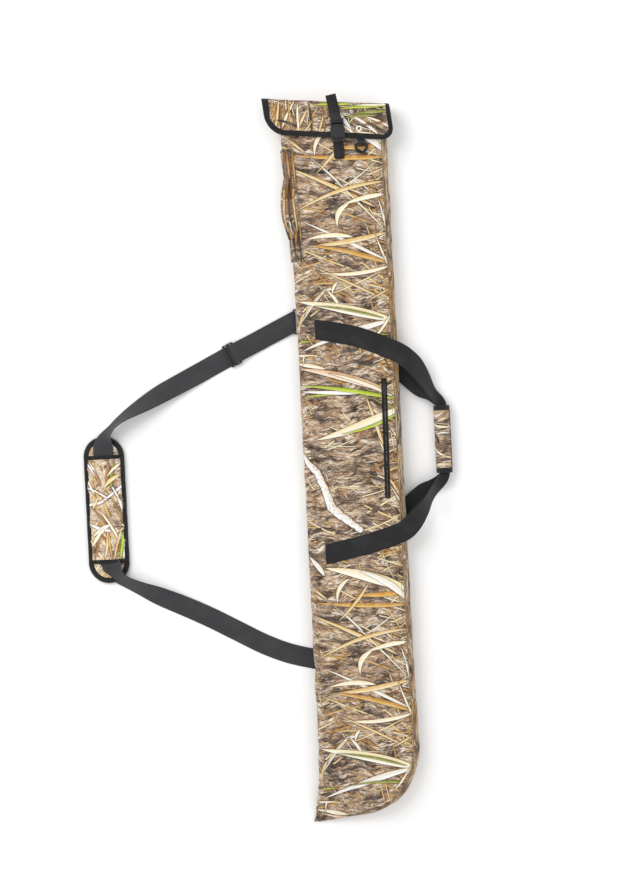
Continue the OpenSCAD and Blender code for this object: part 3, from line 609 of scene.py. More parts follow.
def metal_material(name, base, light, rough, metallic):
    mat, t, bsdf = new_material(name)
    place = object_mm(t)
    cloud = t.add("ShaderNodeTexNoise", {"Vector": place, "Scale": 0.4, "Detail": 4.0}).outputs[0]
    brushed = t.add("ShaderNodeTexNoise", {"Vector": place, "Scale": 5.0, "Detail": 2.0}).outputs[0]
    colour = t.mix(t.band(cloud, 0.35, 0.7), rgb(base), rgb(light))
    finish_material(t, bsdf, colour, t.band(brushed, 0.3, 0.7, rough, rough + 0.16), brushed, 0.00002,
                    specular=0.5, metallic=metallic)
    return mat


def foam_material():
    mat, t, bsdf = new_material("closed_cell_foam")
    place = object_mm(t)
    cell = t.cells(place, 1.1)["Distance"]
    colour = t.mix(t.band(cell, 0.1, 0.7), rgb("4a4a4c"), rgb("6a6a6c"))
    finish_material(t, bsdf, colour, 0.9, cell, 0.0002, specular=0.1)
    return mat


def thread_material(name, base, light):
    mat, t, bsdf = new_material(name)
    twist = t.add("ShaderNodeTexWave", {"Vector": object_mm(t), "Scale": 1.4, "Distortion": 1.0}).outputs["Fac"]
    finish_material(t, bsdf, t.mix(twist, rgb(base), rgb(light)), 0.6, twist, 0.00005, specular=0.3)
    return mat


M_WEB = webbing_material("webbing_charcoal", "0f0e11", "262528", 2.4, 1.7)
M_STRAP = webbing_material("webbing_strap", "252427", "444346", 2.6, 1.9)
M_TAPE = webbing_material("binding_tape", "0b0a0c", "1f1e21", 1.4, 0.9)
M_ZIP = webbing_material("zip_weave", "0d0d0e", "201f22", 1.1, 0.8)
M_SEAM = webbing_material("seam_tape", "7d6750", "b79d79", 1.0, 1.2)
M_LINING = webbing_material("lining_cloth", "1d1d1f", "38383b", 0.9, 0.9)
M_PLASTIC = plastic_material("moulded_plastic", "111112", "1f1f21", 0.42)
M_COIL = plastic_material("zip_coil", "0b0b0c", "171719", 0.42)
M_PAINTED = plastic_material("painted_metal", "08080a", "111113", 0.42, 0.00003, 0.3)
M_ENAMEL = metal_material("pale_enamel", "e9e6df", "fbfaf6", 0.22, 0.15)
M_FOAM = foam_material()
M_THREAD = thread_material("thread_black", "121213", "3a3a3c")
M_TAN_THREAD = thread_material("thread_tan", "6d5a48", "a08a70")


# ---- Mesh helpers ----------------------------------------------------------------------------
def arr(values):
    return np.array(values, float)


def add_piece(name, me, mat, body=None, nodes=()):
    obj = bpy.data.objects.new(name, me)
    bpy.context.scene.collection.objects.link(obj)
    me.materials.append(mat)
    if body:
        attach(obj, body)
    if nodes:
        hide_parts(*nodes)
    return obj


def mesh_from(name, points, faces, uv=None, outward=True, sharp=40):
    """A smooth mesh from points in millimetres; uv is one pair per point."""
    me = bpy.data.meshes.new(name)
    me.from_pydata((arr(points) * MM).tolist(), [], faces)
    if uv is not None:
        layer = me.uv_layers.new(name="print")
        loops = np.zeros(len(me.loops), np.int32)
        me.loops.foreach_get("vertex_index", loops)
        layer.data.foreach_set("uv", (arr(uv) * MM)[loops].ravel())
    if outward:
        bm = bmesh.new()
        bm.from_mesh(me)
        bmesh.ops.recalc_face_normals(bm, faces=bm.faces)
        bm.to_mesh(me)
        bm.free()
    me.shade_smooth()
    if sharp:
        me.set_sharp_from_angle(angle=math.radians(sharp))
    me.validate()
    return me


def grid_faces(m, n, closed=False, caps=False):
    """Quads of a grid of m rings of n points."""
    faces = []
    for i in range(m - 1):
        for j in range(n if closed else n - 1):
            k = (j + 1) % n
            faces.append((i * n + j, i * n + k, (i + 1) * n + k, (i + 1) * n + j))
    if caps:
        faces.append(tuple(range(n)))
        faces.append(tuple((m - 1) * n + j for j in range(n)))
    return faces


def torus_faces(m, n):
    """Quads of closed rings whose last one joins the first."""
    last = (m - 1) * n
    return grid_faces(m, n, True) + [(last + j, last + (j + 1) % n, (j + 1) % n, j) for j in range(n)]


def swept(name, rings, mat, body, nodes=(), uv=None, ring=False, sharp=40):
    """A piece made of rings of points, capped at both ends or closed into a ring."""
    m, n = rings.shape[:2]
    faces = torus_faces(m, n) if ring else grid_faces(m, n, True, True)
    flat = None if uv is None else uv.reshape(-1, 2)
    me = mesh_from(name, rings.reshape(-1, 3), faces, flat, sharp=sharp)
    return add_piece(name, me, mat, body, nodes)


def swept_part(rings, across, along):
    """Rings as a (points, faces, uv) set, with the spacing of the print across and its places along."""
    m, n = rings.shape[:2]
    uv = np.stack(np.meshgrid(np.arange(n) * across, along), 2)
    return rings.reshape(-1, 3), grid_faces(m, n, True, True), uv.reshape(-1, 2)


def cloth(name, P, uv, mat, body, nodes, thick, way=None, offset=-1.0, faces=None):
    """A layer of cloth from a grid of points, turned to face one way and then thickened."""
    faces = faces or grid_faces(*P.shape[:2])
    me = mesh_from(name, P.reshape(-1, 3), faces, uv.reshape(-1, 2), False, 0)
    if way and sum(p.normal.dot(Vector(way)) * p.area for p in me.polygons) < 0:
        me.flip_normals()
    obj = add_piece(name, me, mat, body, nodes)
    thicken(obj, thick, offset)
    return obj


def run_of(line):
    """How far along a line each of its points is."""
    return np.concatenate([[0], np.cumsum(np.linalg.norm(np.diff(line, axis=0), axis=1))])


def wrapped_uv(across, run):
    """UVs of swept rings: across their section and along their run."""
    return np.stack(np.broadcast_arrays(across[None, :], run[:, None]), 2)


def joined(parts):
    """Several (points, faces, uv) sets as one."""
    points, faces, uvs, base = [], [], [], 0
    for p, f, u in parts:
        p = arr(p).reshape(-1, 3)
        points.append(p)
        uvs.append(np.zeros((len(p), 2)) if u is None else arr(u).reshape(-1, 2))
        faces += [tuple(base + k for k in face) for face in f]
        base += len(p)
    return np.concatenate(points), faces, np.concatenate(uvs)


def thicken(obj, mm, offset):
    mod = obj.modifiers.new("cloth_thickness", "SOLIDIFY")
    mod.thickness = mm * MM
    mod.offset = offset
    mod.use_even_offset = False


def spline(route, step):
    """Catmull-Rom through the route's points, at about this spacing in millimetres."""
    pts = arr(route)
    out = []
    for i in range(len(pts) - 1):
        a, b, c, d = pts[max(i - 1, 0)], pts[i], pts[i + 1], pts[min(i + 2, len(pts) - 1)]
        count = max(2, int(np.linalg.norm((c - b)[:3]) / step))
        for k in range(count):
            s = k / count
            out.append(0.5 * (2 * b + (c - a) * s + (2 * a - 5 * b + 4 * c - d) * s * s
                              + (3 * b - a - 3 * c + d) * s ** 3))
    out.append(pts[-1])
    return arr(out)


RIPPLE_WAVES = 9


def unit(v):
    return v / np.maximum(np.linalg.norm(v, axis=-1, keepdims=True), 1e-9)


def ripples(x, y, length, seed):
    """Smooth random height between about -1 and 1, from waves of about this length."""
    rng = random.Random(seed)
    total = np.zeros_like(arr(x))
    for _ in range(RIPPLE_WAVES):
        turn, phase = rng.uniform(0, math.pi), rng.uniform(0, 2 * math.pi)
        wave = length * rng.uniform(0.65, 1.6)
        total = total + np.sin((x * math.cos(turn) + y * math.sin(turn)) * 2 * math.pi / wave + phase)
    return total / math.sqrt(RIPPLE_WAVES) / 1.4


def tape_section(w, t, flat):
    """Points (across, up) round a flat tape with rounded edges."""
    r = t / 2
    left = [(-w / 2 + r + r * math.cos(a), r * math.sin(a)) for a in np.radians([100, 140, 180, 220, 260])]
    low = [(-w / 2 + r + (w - t) * k / (flat + 1), -r) for k in range(1, flat + 1)]
    right = [(w / 2 - r + r * math.cos(a), r * math.sin(a)) for a in np.radians([-80, -40, 0, 40, 80])]
    high = [(w / 2 - r - (w - t) * k / (flat + 1), r) for k in range(1, flat + 1)]
    return arr(left + low + right + high)


def tape_points(C, S, w, t, flat=5):
    """Rings of a tape: C is its middle line, S the unit direction across it."""
    C, S = arr(C), arr(S)
    w = np.broadcast_to(arr(w), (len(C),))
    lift = unit(np.cross(unit(np.gradient(C, axis=0)), unit(S)))
    run = run_of(C)
    rings, uvs = [], []
    for i in range(len(C)):
        sec = tape_section(w[i], t, flat)
        rings.append(C[i] + sec[:, :1] * S[i] + sec[:, 1:] * lift[i])
        uvs.append(np.stack([sec[:, 0], np.full(len(sec), run[i])], 1))
    return arr(rings), arr(uvs)


def tape(name, C, S, w, t, mat, body, nodes=()):
    rings, uvs = tape_points(C, S, w, t)
    return swept(name, rings, mat, body, nodes, uvs, sharp=50)


def route_lines(route, step, cut_first=False, cut_last=False):
    """Middle line, direction across and width along a route of [x, y, z, bank, width]."""
    p = spline(route, step)
    C = p[:, :3]
    d = unit(np.gradient(C[:, :2], axis=0))
    bank = np.radians(p[:, 3])
    S = np.stack([-d[:, 1] * np.cos(bank), d[:, 0] * np.cos(bank), np.sin(bank)], 1)
    m = len(p)
    for i in range(m):
        cut = max(1 - i / 10 if cut_first else 0, 1 - (m - 1 - i) / 10 if cut_last else 0)
        if cut > 0:
            S[i] = S[i] * (1 - cut) + arr([0, 1 / d[i, 0], 0]) * cut
    return C, S, p[:, 4]


def tube_points(C, r, sides):
    C = arr(C)
    along = unit(np.gradient(C, axis=0))
    ref = arr([0, 0, 1]) if abs(along[0][2]) < 0.9 else arr([1, 0, 0])
    rings = []
    for i in range(len(C)):
        a = unit(np.cross(along[i], ref))
        b = unit(np.cross(along[i], a))
        ref = -b if np.dot(-b, ref) > 0 else b
        ang = np.arange(sides) * 2 * math.pi / sides
        rings.append(C[i] + r * (np.cos(ang)[:, None] * a + np.sin(ang)[:, None] * b))
    return arr(rings)


def tube_part(C, r, sides):
    rings = tube_points(C, r, sides)
    return rings.reshape(-1, 3), grid_faces(*rings.shape[:2], True, True), None


def closed_tube(C, r, sides, wrap):
    """Rings round a line that ends where it starts; wrap is how many points are run over again."""
    return tube_points(np.concatenate([C[-wrap:], C, C[:wrap]]), r, sides)[wrap:-wrap]


def tubes(name, parts, mat, body, nodes=(), place=None):
    """Several tubes as one piece, moved from their own frame if a place is given."""
    points, faces, _ = joined(parts)
    me = mesh_from(name, place(points) if place else points, faces, sharp=0)
    return add_piece(name, me, mat, body, nodes)


def stitch_part(line, up, pitch=4.0, length=2.9, r=0.42):
    """Dashes of thread laid along a line in the direction up from it."""
    line, up = arr(line), unit(np.broadcast_to(arr(up), np.shape(line)))
    run = run_of(line)
    ang = np.arange(5) * 2 * math.pi / 5
    parts = []
    for s in np.arange(pitch / 2, run[-1] - length / 2, pitch):
        ends = [s - length / 2, s - length / 4, s, s + length / 4, s + length / 2]
        at = arr([[np.interp(e, run, line[:, k]) for k in range(3)] for e in ends])
        nor = unit(arr([np.interp(s, run, up[:, k]) for k in range(3)]))
        way = unit(at[-1] - at[0])
        side = np.cross(way, nor)
        rings = []
        for k, (scale, high) in enumerate(((0.45, -0.35), (0.9, 0.3), (1.0, 0.5), (0.9, 0.3), (0.45, -0.35))):
            round_it = np.cos(ang)[:, None] * side + np.sin(ang)[:, None] * nor
            rings.append(at[k] + nor * high * r + scale * r * round_it)
        rings = arr(rings)
        parts.append((rings.reshape(-1, 3), grid_faces(5, 5, True, True), None))
    return joined(parts)


def stitches(name, lines, mat, body, slot, **size):
    points, faces, _ = joined([stitch_part(line, up, **size) for line, up in lines])
    return add_piece(name, mesh_from(name, points, faces, None, outward=False, sharp=0), mat, body)


# ---- Simulation ------------------------------------------------------------------------------
def cloth_run(obj, pin, frames, pressure, shrink, bend, tension):
    """Runs Blender's cloth on an object and returns where its points end, in metres."""
    mod = obj.modifiers.new("cloth", "CLOTH")
    s = mod.settings
    s.quality = 5
    s.mass = 0.15
    s.tension_stiffness = s.compression_stiffness = tension
    s.shear_stiffness = tension / 3
    s.bending_stiffness = bend
    s.air_damping = 2.0
    s.effector_weights.gravity = 0.0
    s.shrink_min = shrink
    s.use_pressure = True
    s.uniform_pressure_force = pressure
    group = obj.vertex_groups.new(name="pin")
    group.add([int(k) for k in np.nonzero(pin)[0]], 1.0, "REPLACE")
    s.vertex_group_mass = "pin"
    mod.collision_settings.use_collision = False
    mod.collision_settings.use_self_collision = False
    mod.point_cache.frame_start, mod.point_cache.frame_end = 1, frames
    scene = bpy.context.scene
    for f in range(1, frames + 1):
        scene.frame_set(f)
    ev = obj.evaluated_get(bpy.context.evaluated_depsgraph_get())
    co = arr([v.co for v in ev.data.vertices])
    obj.modifiers.remove(mod)
    scene.frame_set(1)
    return co


def settle(P, pinned, cap, **how):
    """A grid of fabric after cloth simulation, no point moved further than the cap in millimetres."""
    m, n = P.shape[:2]
    me = bpy.data.meshes.new("settling")
    me.from_pydata((P.reshape(-1, 3) * MM).tolist(), [], grid_faces(m, n))
    obj = bpy.data.objects.new("settling", me)
    bpy.context.scene.collection.objects.link(obj)
    co = cloth_run(obj, pin=pinned.ravel(), **how) / MM
    bpy.data.objects.remove(obj)
    move = co.reshape(P.shape) - P
    size = np.linalg.norm(move, axis=2, keepdims=True)
    return P + move * np.minimum(1.0, cap / np.maximum(size, 1e-9))


# ---- The body --------------------------------------------------------------------------------
BODY_T = 42.0
STRAIGHT = 540.0
LEFT_EDGE = arr([(-685, -112), (-640, -102), (-600, -97), (-540, -95), (300, -95), (400, -96), (540, -101),
                 (600, -106), (700, -113)])
RIGHT_EDGE = arr([(-540, 98), (-400, 96), (-200, 95), (690, 95)])
SLANT = math.radians(5.2)
MOUTH_Y = 684.0
SEAM = 65
FABRIC_T = 1.1


def x_left(y):
    return np.interp(y, LEFT_EDGE[:, 0], LEFT_EDGE[:, 1])


def x_right(y):
    return np.interp(y, RIGHT_EDGE[:, 0], RIGHT_EDGE[:, 1])


def body_stations(step):
    """Rows down the bag: left end, right end and thickness."""
    rows = []
    mouth = (arr([-112, MOUTH_Y]), arr([95, MOUTH_Y - 207 * math.tan(SLANT)]))
    first = (arr([x_left(640), 640]), arr([x_right(640), 640]))
    count = max(4, int(50 / step))
    for k in range(count):
        s = k / count
        rows.append((mouth[0] * (1 - s) + first[0] * s, mouth[1] * (1 - s) + first[1] * s, BODY_T))
    for y in np.linspace(640, -STRAIGHT, int(1180 / step)):
        rows.append((arr([x_left(y), y]), arr([x_right(y), y]), BODY_T))
    for a in np.arange(3, 84.1, 3):
        y = -STRAIGHT - 118 * (a / 84) ** 1.3
        thick = BODY_T if a < 45 else BODY_T - 20 * ((a - 45) / 39) ** 1.5
        turn = math.radians(a)
        right = arr([-10 + 108 * math.cos(turn), -STRAIGHT - 131 * math.sin(turn)])
        rows.append((arr([x_left(y), y]), right, thick))
    low = [rows[-1], (arr([-106, -670]), arr([-55, -677]), 12.0),
           (arr([-111, -682.5]), arr([-98, -683.5]), 4.0)]
    for a, b in zip(low, low[1:]):
        for s in (0.25, 0.5, 0.75, 1.0):
            rows.append((a[0] * (1 - s) + b[0] * s, a[1] * (1 - s) + b[1] * s, a[2] * (1 - s) + b[2] * s))
    return rows


def section_point(row, side, angle, inset=0.0):
    left, right, thick = row
    half = thick / 2
    w = np.linalg.norm(right - left)
    along = (right - left) / w
    r = half - inset
    centre = half if side == 0 else w - half
    a = math.radians(angle)
    p = left + along * (centre + r * math.cos(a))
    return [p[0], p[1], half + r * math.sin(a)]


STEP = 4.0
ROWS = body_stations(STEP)
LENGTHS = run_of(arr([row[1] for row in ROWS]))
FLAT_COLS = 42
ARC_COLS = 12


def front_grid():
    P, UV = [], []
    for row in ROWS:
        left = [section_point(row, 0, a) for a in np.linspace(180 - SEAM, 90, 6)]
        right = [section_point(row, 1, a) for a in np.linspace(90, SEAM, 6)]
        flat = [list(arr(left[-1]) * (1 - s) + arr(right[0]) * s) for s in np.linspace(0, 1, FLAT_COLS)[1:-1]]
        line = arr(left + flat + right)
        P.append(line)
        arc = row[2] / 2 * math.radians(90 - SEAM) * np.linspace(0, 1, 6)
        u = line[:, 0].copy()
        u[:6] = line[5, 0] - arc[::-1]
        u[-6:] = line[-6, 0] + arc
        UV.append(np.stack([u, line[:, 1]], 1))
    return arr(P), arr(UV)


def rect_mask(x, y, a, b, half):
    """Points within half a width of the line from a to b."""
    a, b = arr(a), arr(b)
    d = b - a
    s = np.clip(((x - a[0]) * d[0] + (y - a[1]) * d[1]) / (d @ d), 0, 1)
    return np.hypot(x - a[0] - s * d[0], y - a[1] - s * d[1]) < half


def grid_normals(P):
    du = np.gradient(P, axis=1)
    dv = np.gradient(P, axis=0)
    return unit(np.cross(dv, du))


SEWN_UPPER = [(-60.7, 252), (5.3, 238), (50, 221.5), (76.4, 209.4)]
SEWN_LOWER = [(-62, -174), (8.7, -160), (52, -149), (76.4, -141.4)]
ZIP_TOP = (64.8, 154.0)
ZIP_L = 228.0
FOAM_TOP, FOAM_EASE = -0.95, 0.15
EDGE_COLS = 6.0
HIGHEST_FRONT = 43.2


def sewn_places(x, y):
    """Where the front is held down: its edges, the sewn webbing, the zip, the D-ring and the buckle."""
    held = np.zeros(x.shape, bool)
    held[:, :2] = held[:, -2:] = held[:1, :] = held[-3:, :] = True
    for route in (SEWN_UPPER, SEWN_LOWER):
        for a, b in zip(route, route[1:]):
            held |= rect_mask(x, y, a, b, 18)
    zip_end = (ZIP_TOP[0] - 4, ZIP_TOP[1] - ZIP_L)
    for a, b, half in ((ZIP_TOP, zip_end, 6), ((44.5, 606.5), (44.5, 614.5), 8), ((4, 571), (6, 596), 11)):
        held |= rect_mask(x, y, a, b, half)
    return held


def make_front():
    P, UV = front_grid()
    x, y = P[..., 0], P[..., 1]
    normal = grid_normals(P)
    normal *= np.sign(normal[..., 2:3] + 1e-9)
    drawn = P.copy()
    pinned = sewn_places(x, y)
    edge = np.minimum(np.arange(P.shape[1]), np.arange(P.shape[1])[::-1])[None, :] / EDGE_COLS
    near = np.clip(edge * np.ones(P.shape[:2]), 0, 1)
    start = 0.5 * ripples(x, y, 60, 3) + 0.35 * ripples(x, y, 26, 5)
    P = P + normal * (np.where(pinned, 0.0, start * near)[..., None])
    P = settle(P, pinned, 1.9, frames=18, pressure=1.4, shrink=-0.022, bend=0.25, tension=9.0)
    soft = 0.55 * ripples(x * 0.6, y, 150, 8) - 0.45
    pucker = 0.35 * np.sin(y * 2 * math.pi / 17 + 2 * ripples(x, y, 70, 4)) * np.exp(-edge * 1.2)
    P = P + normal * ((soft * near + pucker * np.clip(edge, 0, 1))[..., None])
    # The fabric can't sink into the foam under it.
    depth = ((P - drawn) * normal).sum(2)
    held = FOAM_TOP + FOAM_EASE * np.logaddexp(0.0, (depth - FOAM_TOP) / FOAM_EASE)
    P = P + normal * (held - depth)[..., None]
    P[..., 2] = np.minimum(P[..., 2], HIGHEST_FRONT)
    cloth("front_fabric", P, UV, M_BODY, "shell", ["front_panel"], FABRIC_T, (0, 0, 1))
    return P, UV


FRONT, FRONT_UV = make_front()
FRONT_TREE = BVHTree.FromPolygons([Vector(p) for p in FRONT.reshape(-1, 3)], grid_faces(*FRONT.shape[:2]))


def top_z(x, y):
    """Height of the front fabric under a point, in millimetres."""
    hit = FRONT_TREE.ray_cast(Vector((float(x), float(y), 90.0)), Vector((0, 0, -1)))
    return hit[0].z if hit[0] is not None else None


def make_side(name, side, node, mat, seed, own_uv):
    """The gusset from the front seam round to the back seam."""
    angles = np.linspace(SEAM, -90, ARC_COLS) if side else np.linspace(180 - SEAM, 270, ARC_COLS)
    P = arr([[section_point(row, side, a) for a in angles] for row in ROWS])
    seam = FRONT[:, -1 if side else 0]
    P[:, 0] = seam
    normal = grid_normals(P)
    middle = arr([[[*(left + right) / 2, thick / 2]] for left, right, thick in ROWS])
    outward = P - middle
    normal *= np.sign((normal * outward).sum(2, keepdims=True))
    mid = np.sin(np.linspace(0, math.pi, ARC_COLS))[None, :]
    run = np.broadcast_to(LENGTHS[:, None], P.shape[:2])
    arc = np.broadcast_to(np.linspace(0, 57, ARC_COLS)[None, :], P.shape[:2])
    wave = 0.9 * ripples(arc * 0.8, run, 55, seed) + 0.4 * ripples(arc, run, 24, seed + 1) - 0.7
    P = P + normal * (wave * mid)[..., None]
    P[..., 2] = np.maximum(P[..., 2], 0.05)
    if own_uv:
        UV = np.stack([run - 700, arc + seed], 2)
    else:
        UV = np.stack([FRONT_UV[:, :1, 0] - arc, P[..., 1]], 2)
    cloth(name, P, UV, mat, "shell", [node], FABRIC_T, (1 if side else -1, 0, 0))
    return P


RIGHT = make_side("gusset_right_fabric", 1, "gusset_right", M_EDGE, 21, True)
LEFT = make_side("gusset_left_fabric", 0, "gusset_left", M_BODY, 33, False)


def make_back():
    P, UV = [], []
    for row in ROWS:
        a, b = arr(section_point(row, 1, -90)), arr(section_point(row, 0, 270))
        s = np.linspace(0, 1, FLAT_COLS)[:, None]
        line = a * (1 - s) + b * s
        P.append(line)
        UV.append(np.stack([300 - line[:, 0], line[:, 1]], 1))
    P, UV = arr(P), arr(UV)
    x, y = P[..., 0], P[..., 1]
    edge = np.sin(np.linspace(0, math.pi, P.shape[1]))[None, :] ** 0.6
    lift = 0.9 + 0.7 * ripples(x, y, 90, 12) + 0.4 * ripples(x, y, 34, 13)
    P[..., 2] = 0.05 + np.clip(lift, 0.1, 2.4) * edge
    P[:, 0], P[:, -1] = RIGHT[:, -1], LEFT[:, -1]
    cloth("back_fabric", P, UV, M_BODY, "shell", ["back_panel"], 1.0, (0, 0, -1))


make_back()


def ring_points(rows, inset, cols=9):
    """A whole loop of the body's wall at an inset, row by row."""
    out = []
    for row in rows:
        out.append([section_point(row, 1, a, inset) for a in np.linspace(90, -90, cols)]
                   + [section_point(row, 0, a, inset) for a in np.linspace(270, 90, cols)])
    return arr(out)


def resampled(ring, per):
    """Adds points along the straight stretches of a loop."""
    n = ring.shape[1]
    out = []
    for j in range(n):
        a, b = ring[:, j], ring[:, (j + 1) % n]
        count = per if np.linalg.norm(b[0] - a[0]) > 30 else 1
        out += [a * (1 - k / count) + b * (k / count) for k in range(count)]
    return np.stack(out, 1)


def make_inside():
    rows = ROWS[:-6:2]
    for name, insets, mat, slot, nodes in (
            ("padding_foam", (3.4, 7.2), M_FOAM, "foam", ["foam_front", "foam_back", "foam_left", "foam_right"]),
            ("lining_cloth", (7.5, 8.3), M_LINING, "lining", ["lining"])):
        outer, inner = (resampled(ring_points(rows, i), 12) for i in insets)
        if slot == "lining":
            inner[..., 2] += 0.25 * ripples(outer[..., 0] + outer[..., 2], outer[..., 1], 60, 6)
        m, n = outer.shape[:2]
        both = np.concatenate([outer, inner])
        faces = grid_faces(m, n, True) + [tuple(m * n + k for k in f[::-1]) for f in grid_faces(m, n, True)]
        for j in range(n):
            k = (j + 1) % n
            faces.append((j, m * n + j, m * n + k, k))
            e = (m - 1) * n
            faces.append((e + k, m * n + e + k, m * n + e + j, e + j))
        uv = np.stack([np.arange(2 * m * n) % n * 8.0, both.reshape(-1, 3)[:, 1]], 1)
        add_piece(name, mesh_from(name, both.reshape(-1, 3), faces, uv), mat, "shell", nodes)


make_inside()


def make_mouth_binding():
    """A folded tape over the raw edge of the mouth."""
    along = unit(ROWS[0][1] - ROWS[0][0])
    out_of = arr([-along[1], along[0], 0])
    shape = [(-1.0, -13), (-1.6, -9), (-1.7, -3), (-1.1, 0.6), (1.0, 1.9), (4.0, 2.3), (7.2, 1.9), (9.0, 0.4),
             (9.4, -4), (9.0, -12), (8.4, -13), (7.6, -12), (7.4, -3), (6, -0.2), (4, 0.1), (2, -0.2),
             (0.4, -2.6), (-0.2, -12)]
    rings = [resampled(ring_points([ROWS[0]], inset), 26)[0] + out_of * rise for inset, rise in shape]
    P = arr(rings).transpose(1, 0, 2)
    run = run_of(P[:, 4])
    P = P + (0.12 * np.sin(run / 9.0))[:, None, None] * out_of
    P[..., 2] = np.maximum(P[..., 2], 0.3)
    uv = wrapped_uv(run_of(arr(shape)), run)
    swept("mouth_tape", P, M_TAPE, "shell", ["mouth_binding"], uv, ring=True)


make_mouth_binding()


def make_seams():
    """The welts where the front meets the right gusset and the back meets both, and the topstitching."""
    way = unit(arr([math.cos(math.radians(SEAM)), 0, math.sin(math.radians(SEAM))]))
    edges = (FRONT[:, -1] + way * 0.15, RIGHT[:, -1] + arr([0.4, 0, 0.7]), LEFT[:, -1] + arr([-0.4, 0, 0.7]))
    points, faces, _ = joined([tube_part(edge[2:-2], 0.9, 8) for edge in edges])
    points[:, 2] = np.maximum(points[:, 2], 0.05)
    uv = np.stack([points[:, 2], points[:, 1]], 1)
    add_piece("seam_welts", mesh_from("seam_welts", points, faces, uv, sharp=0), M_SEAM, "shell")
    lines = [(FRONT[3:-4, -4] + arr([0, 0, 0.15]), (0.25, 0, 1)),
             (RIGHT[3:-4, 1] + arr([0.2, 0, 0.1]), (0.7, 0, 0.7))]
    stitches("seam_stitches", lines, M_TAN_THREAD, "shell", "camo_fabric", pitch=4.2, length=3.0, r=0.36)


make_seams()


# ---- Refined hard parts ----------------------------------------------------------------------
BEVEL_STEPS = 3


def refined(node, body, mat, bevel):
    """A CAD part with its edges rounded and its faces shaded smooth, in the same place."""
    me = bpy.data.meshes.new(node + "_body")
    source = NODES[node].data
    verts = np.zeros(len(source.vertices) * 3, np.float32)
    source.vertices.foreach_get("co", verts)
    me.from_pydata(verts.reshape(-1, 3).tolist(), [], [tuple(p.vertices) for p in source.polygons])
    bm = bmesh.new()
    bm.from_mesh(me)
    bmesh.ops.remove_doubles(bm, verts=bm.verts, dist=0.00002)
    bmesh.ops.dissolve_limit(bm, angle_limit=math.radians(2), verts=bm.verts, edges=bm.edges)
    sharp = [e for e in bm.edges if len(e.link_faces) == 2 and e.calc_face_angle(0) > math.radians(32)]
    bmesh.ops.bevel(bm, geom=sharp, offset=bevel * MM, segments=BEVEL_STEPS, profile=0.6, affect="EDGES",
                    clamp_overlap=True)
    bmesh.ops.triangulate(bm, faces=[f for f in bm.faces if len(f.verts) > 4])
    bmesh.ops.recalc_face_normals(bm, faces=bm.faces)
    bm.to_mesh(me)
    bm.free()
    me.shade_smooth()
    me.set_sharp_from_angle(angle=math.radians(38))
    return add_piece(node + "_body", me, mat, body, [node])


# ---- The flap --------------------------------------------------------------------------------
FLAP_ORIGIN = arr([-12, MOUTH_Y - 100 * math.tan(SLANT), 0])
FOLD_Y, FLAP_H, FLAP_HALF, FLAP_TOP = 6.5, 69.0, 121.0, 46.45
FOLD_R = 6.0
FOLD_START = 5.2 - FOLD_R
FOLD_END = FOLD_START + FOLD_R * math.pi / 2
GROMMET = (58.0, -43.6)


def turned(p, angle, origin):
    c, s = math.cos(angle), math.sin(angle)
    p = arr(p)
    out = p.copy()
    out[..., 0] = p[..., 0] * c - p[..., 1] * s + origin[0]
    out[..., 1] = p[..., 0] * s + p[..., 1] * c + origin[1]
    out[..., 2] = p[..., 2] + origin[2]
    return out


def from_flap(p):
    return turned(p, -SLANT, FLAP_ORIGIN)


def flap_edges(v, inset):
    """Left and right ends of the flap's cloth at a place v along its cut, fold at about 6."""
    y0 = FOLD_Y - FLAP_H + inset
    half = FLAP_HALF - inset
    ends = []
    for side, radius in ((-1, 36 - inset), (1, 26 - inset)):
        x = half
        if v < y0 + radius:
            dy = min(radius, y0 + radius - v)
            x = half - radius + math.sqrt(max(radius * radius - dy * dy, 0.0))
        x = side * x + 0.2 * (FOLD_Y - min(v, FOLD_Y)) - 8
        wall = (-116.5 + inset if side < 0 else 106.5 - inset)
        s = np.clip((v - FOLD_END) / 12, 0, 1)
        ends.append(x * (1 - s) + wall * s)
    return ends


def on_flap(x, v, lift=0.0):
    """A place on the flap's cloth, in flap millimetres: x across, v along, lift out from it."""
    x, v, lift = np.broadcast_arrays(arr(x), arr(v), arr(lift))
    a = np.clip((v - FOLD_START) / FOLD_R, 0, math.pi / 2)
    r = FOLD_R + lift
    y = np.where(v < FOLD_START, v, FOLD_START + r * np.sin(a))
    z = np.where(v < FOLD_START, FLAP_TOP + lift, FLAP_TOP - FOLD_R + r * np.cos(a))
    z = z - np.maximum(v - FOLD_END, 0)
    return np.stack([x, y, z], -1)


def buckle_to_flap(p):
    return turned(p, math.radians(6.7), arr([17, -44, 49.4]))


def from_buckle(p):
    return from_flap(buckle_to_flap(p))


def flap_wave(x, v):
    """The cloth's slow waves, calm under the buckle, the eyelet and the fold."""
    calm = np.clip(np.hypot((x - GROMMET[0]) / 12, (v - GROMMET[1]) / 12) - 0.6, 0, 1)
    calm = calm * np.clip(np.abs(x - 17) / 12 - 0.9, 0, 1) * np.clip((FOLD_END + 6 - np.abs(v)) / 10, 0.25, 1)
    return calm * (0.55 * ripples(x, v, 58, 41) + 0.3 * ripples(x, v, 24, 42))


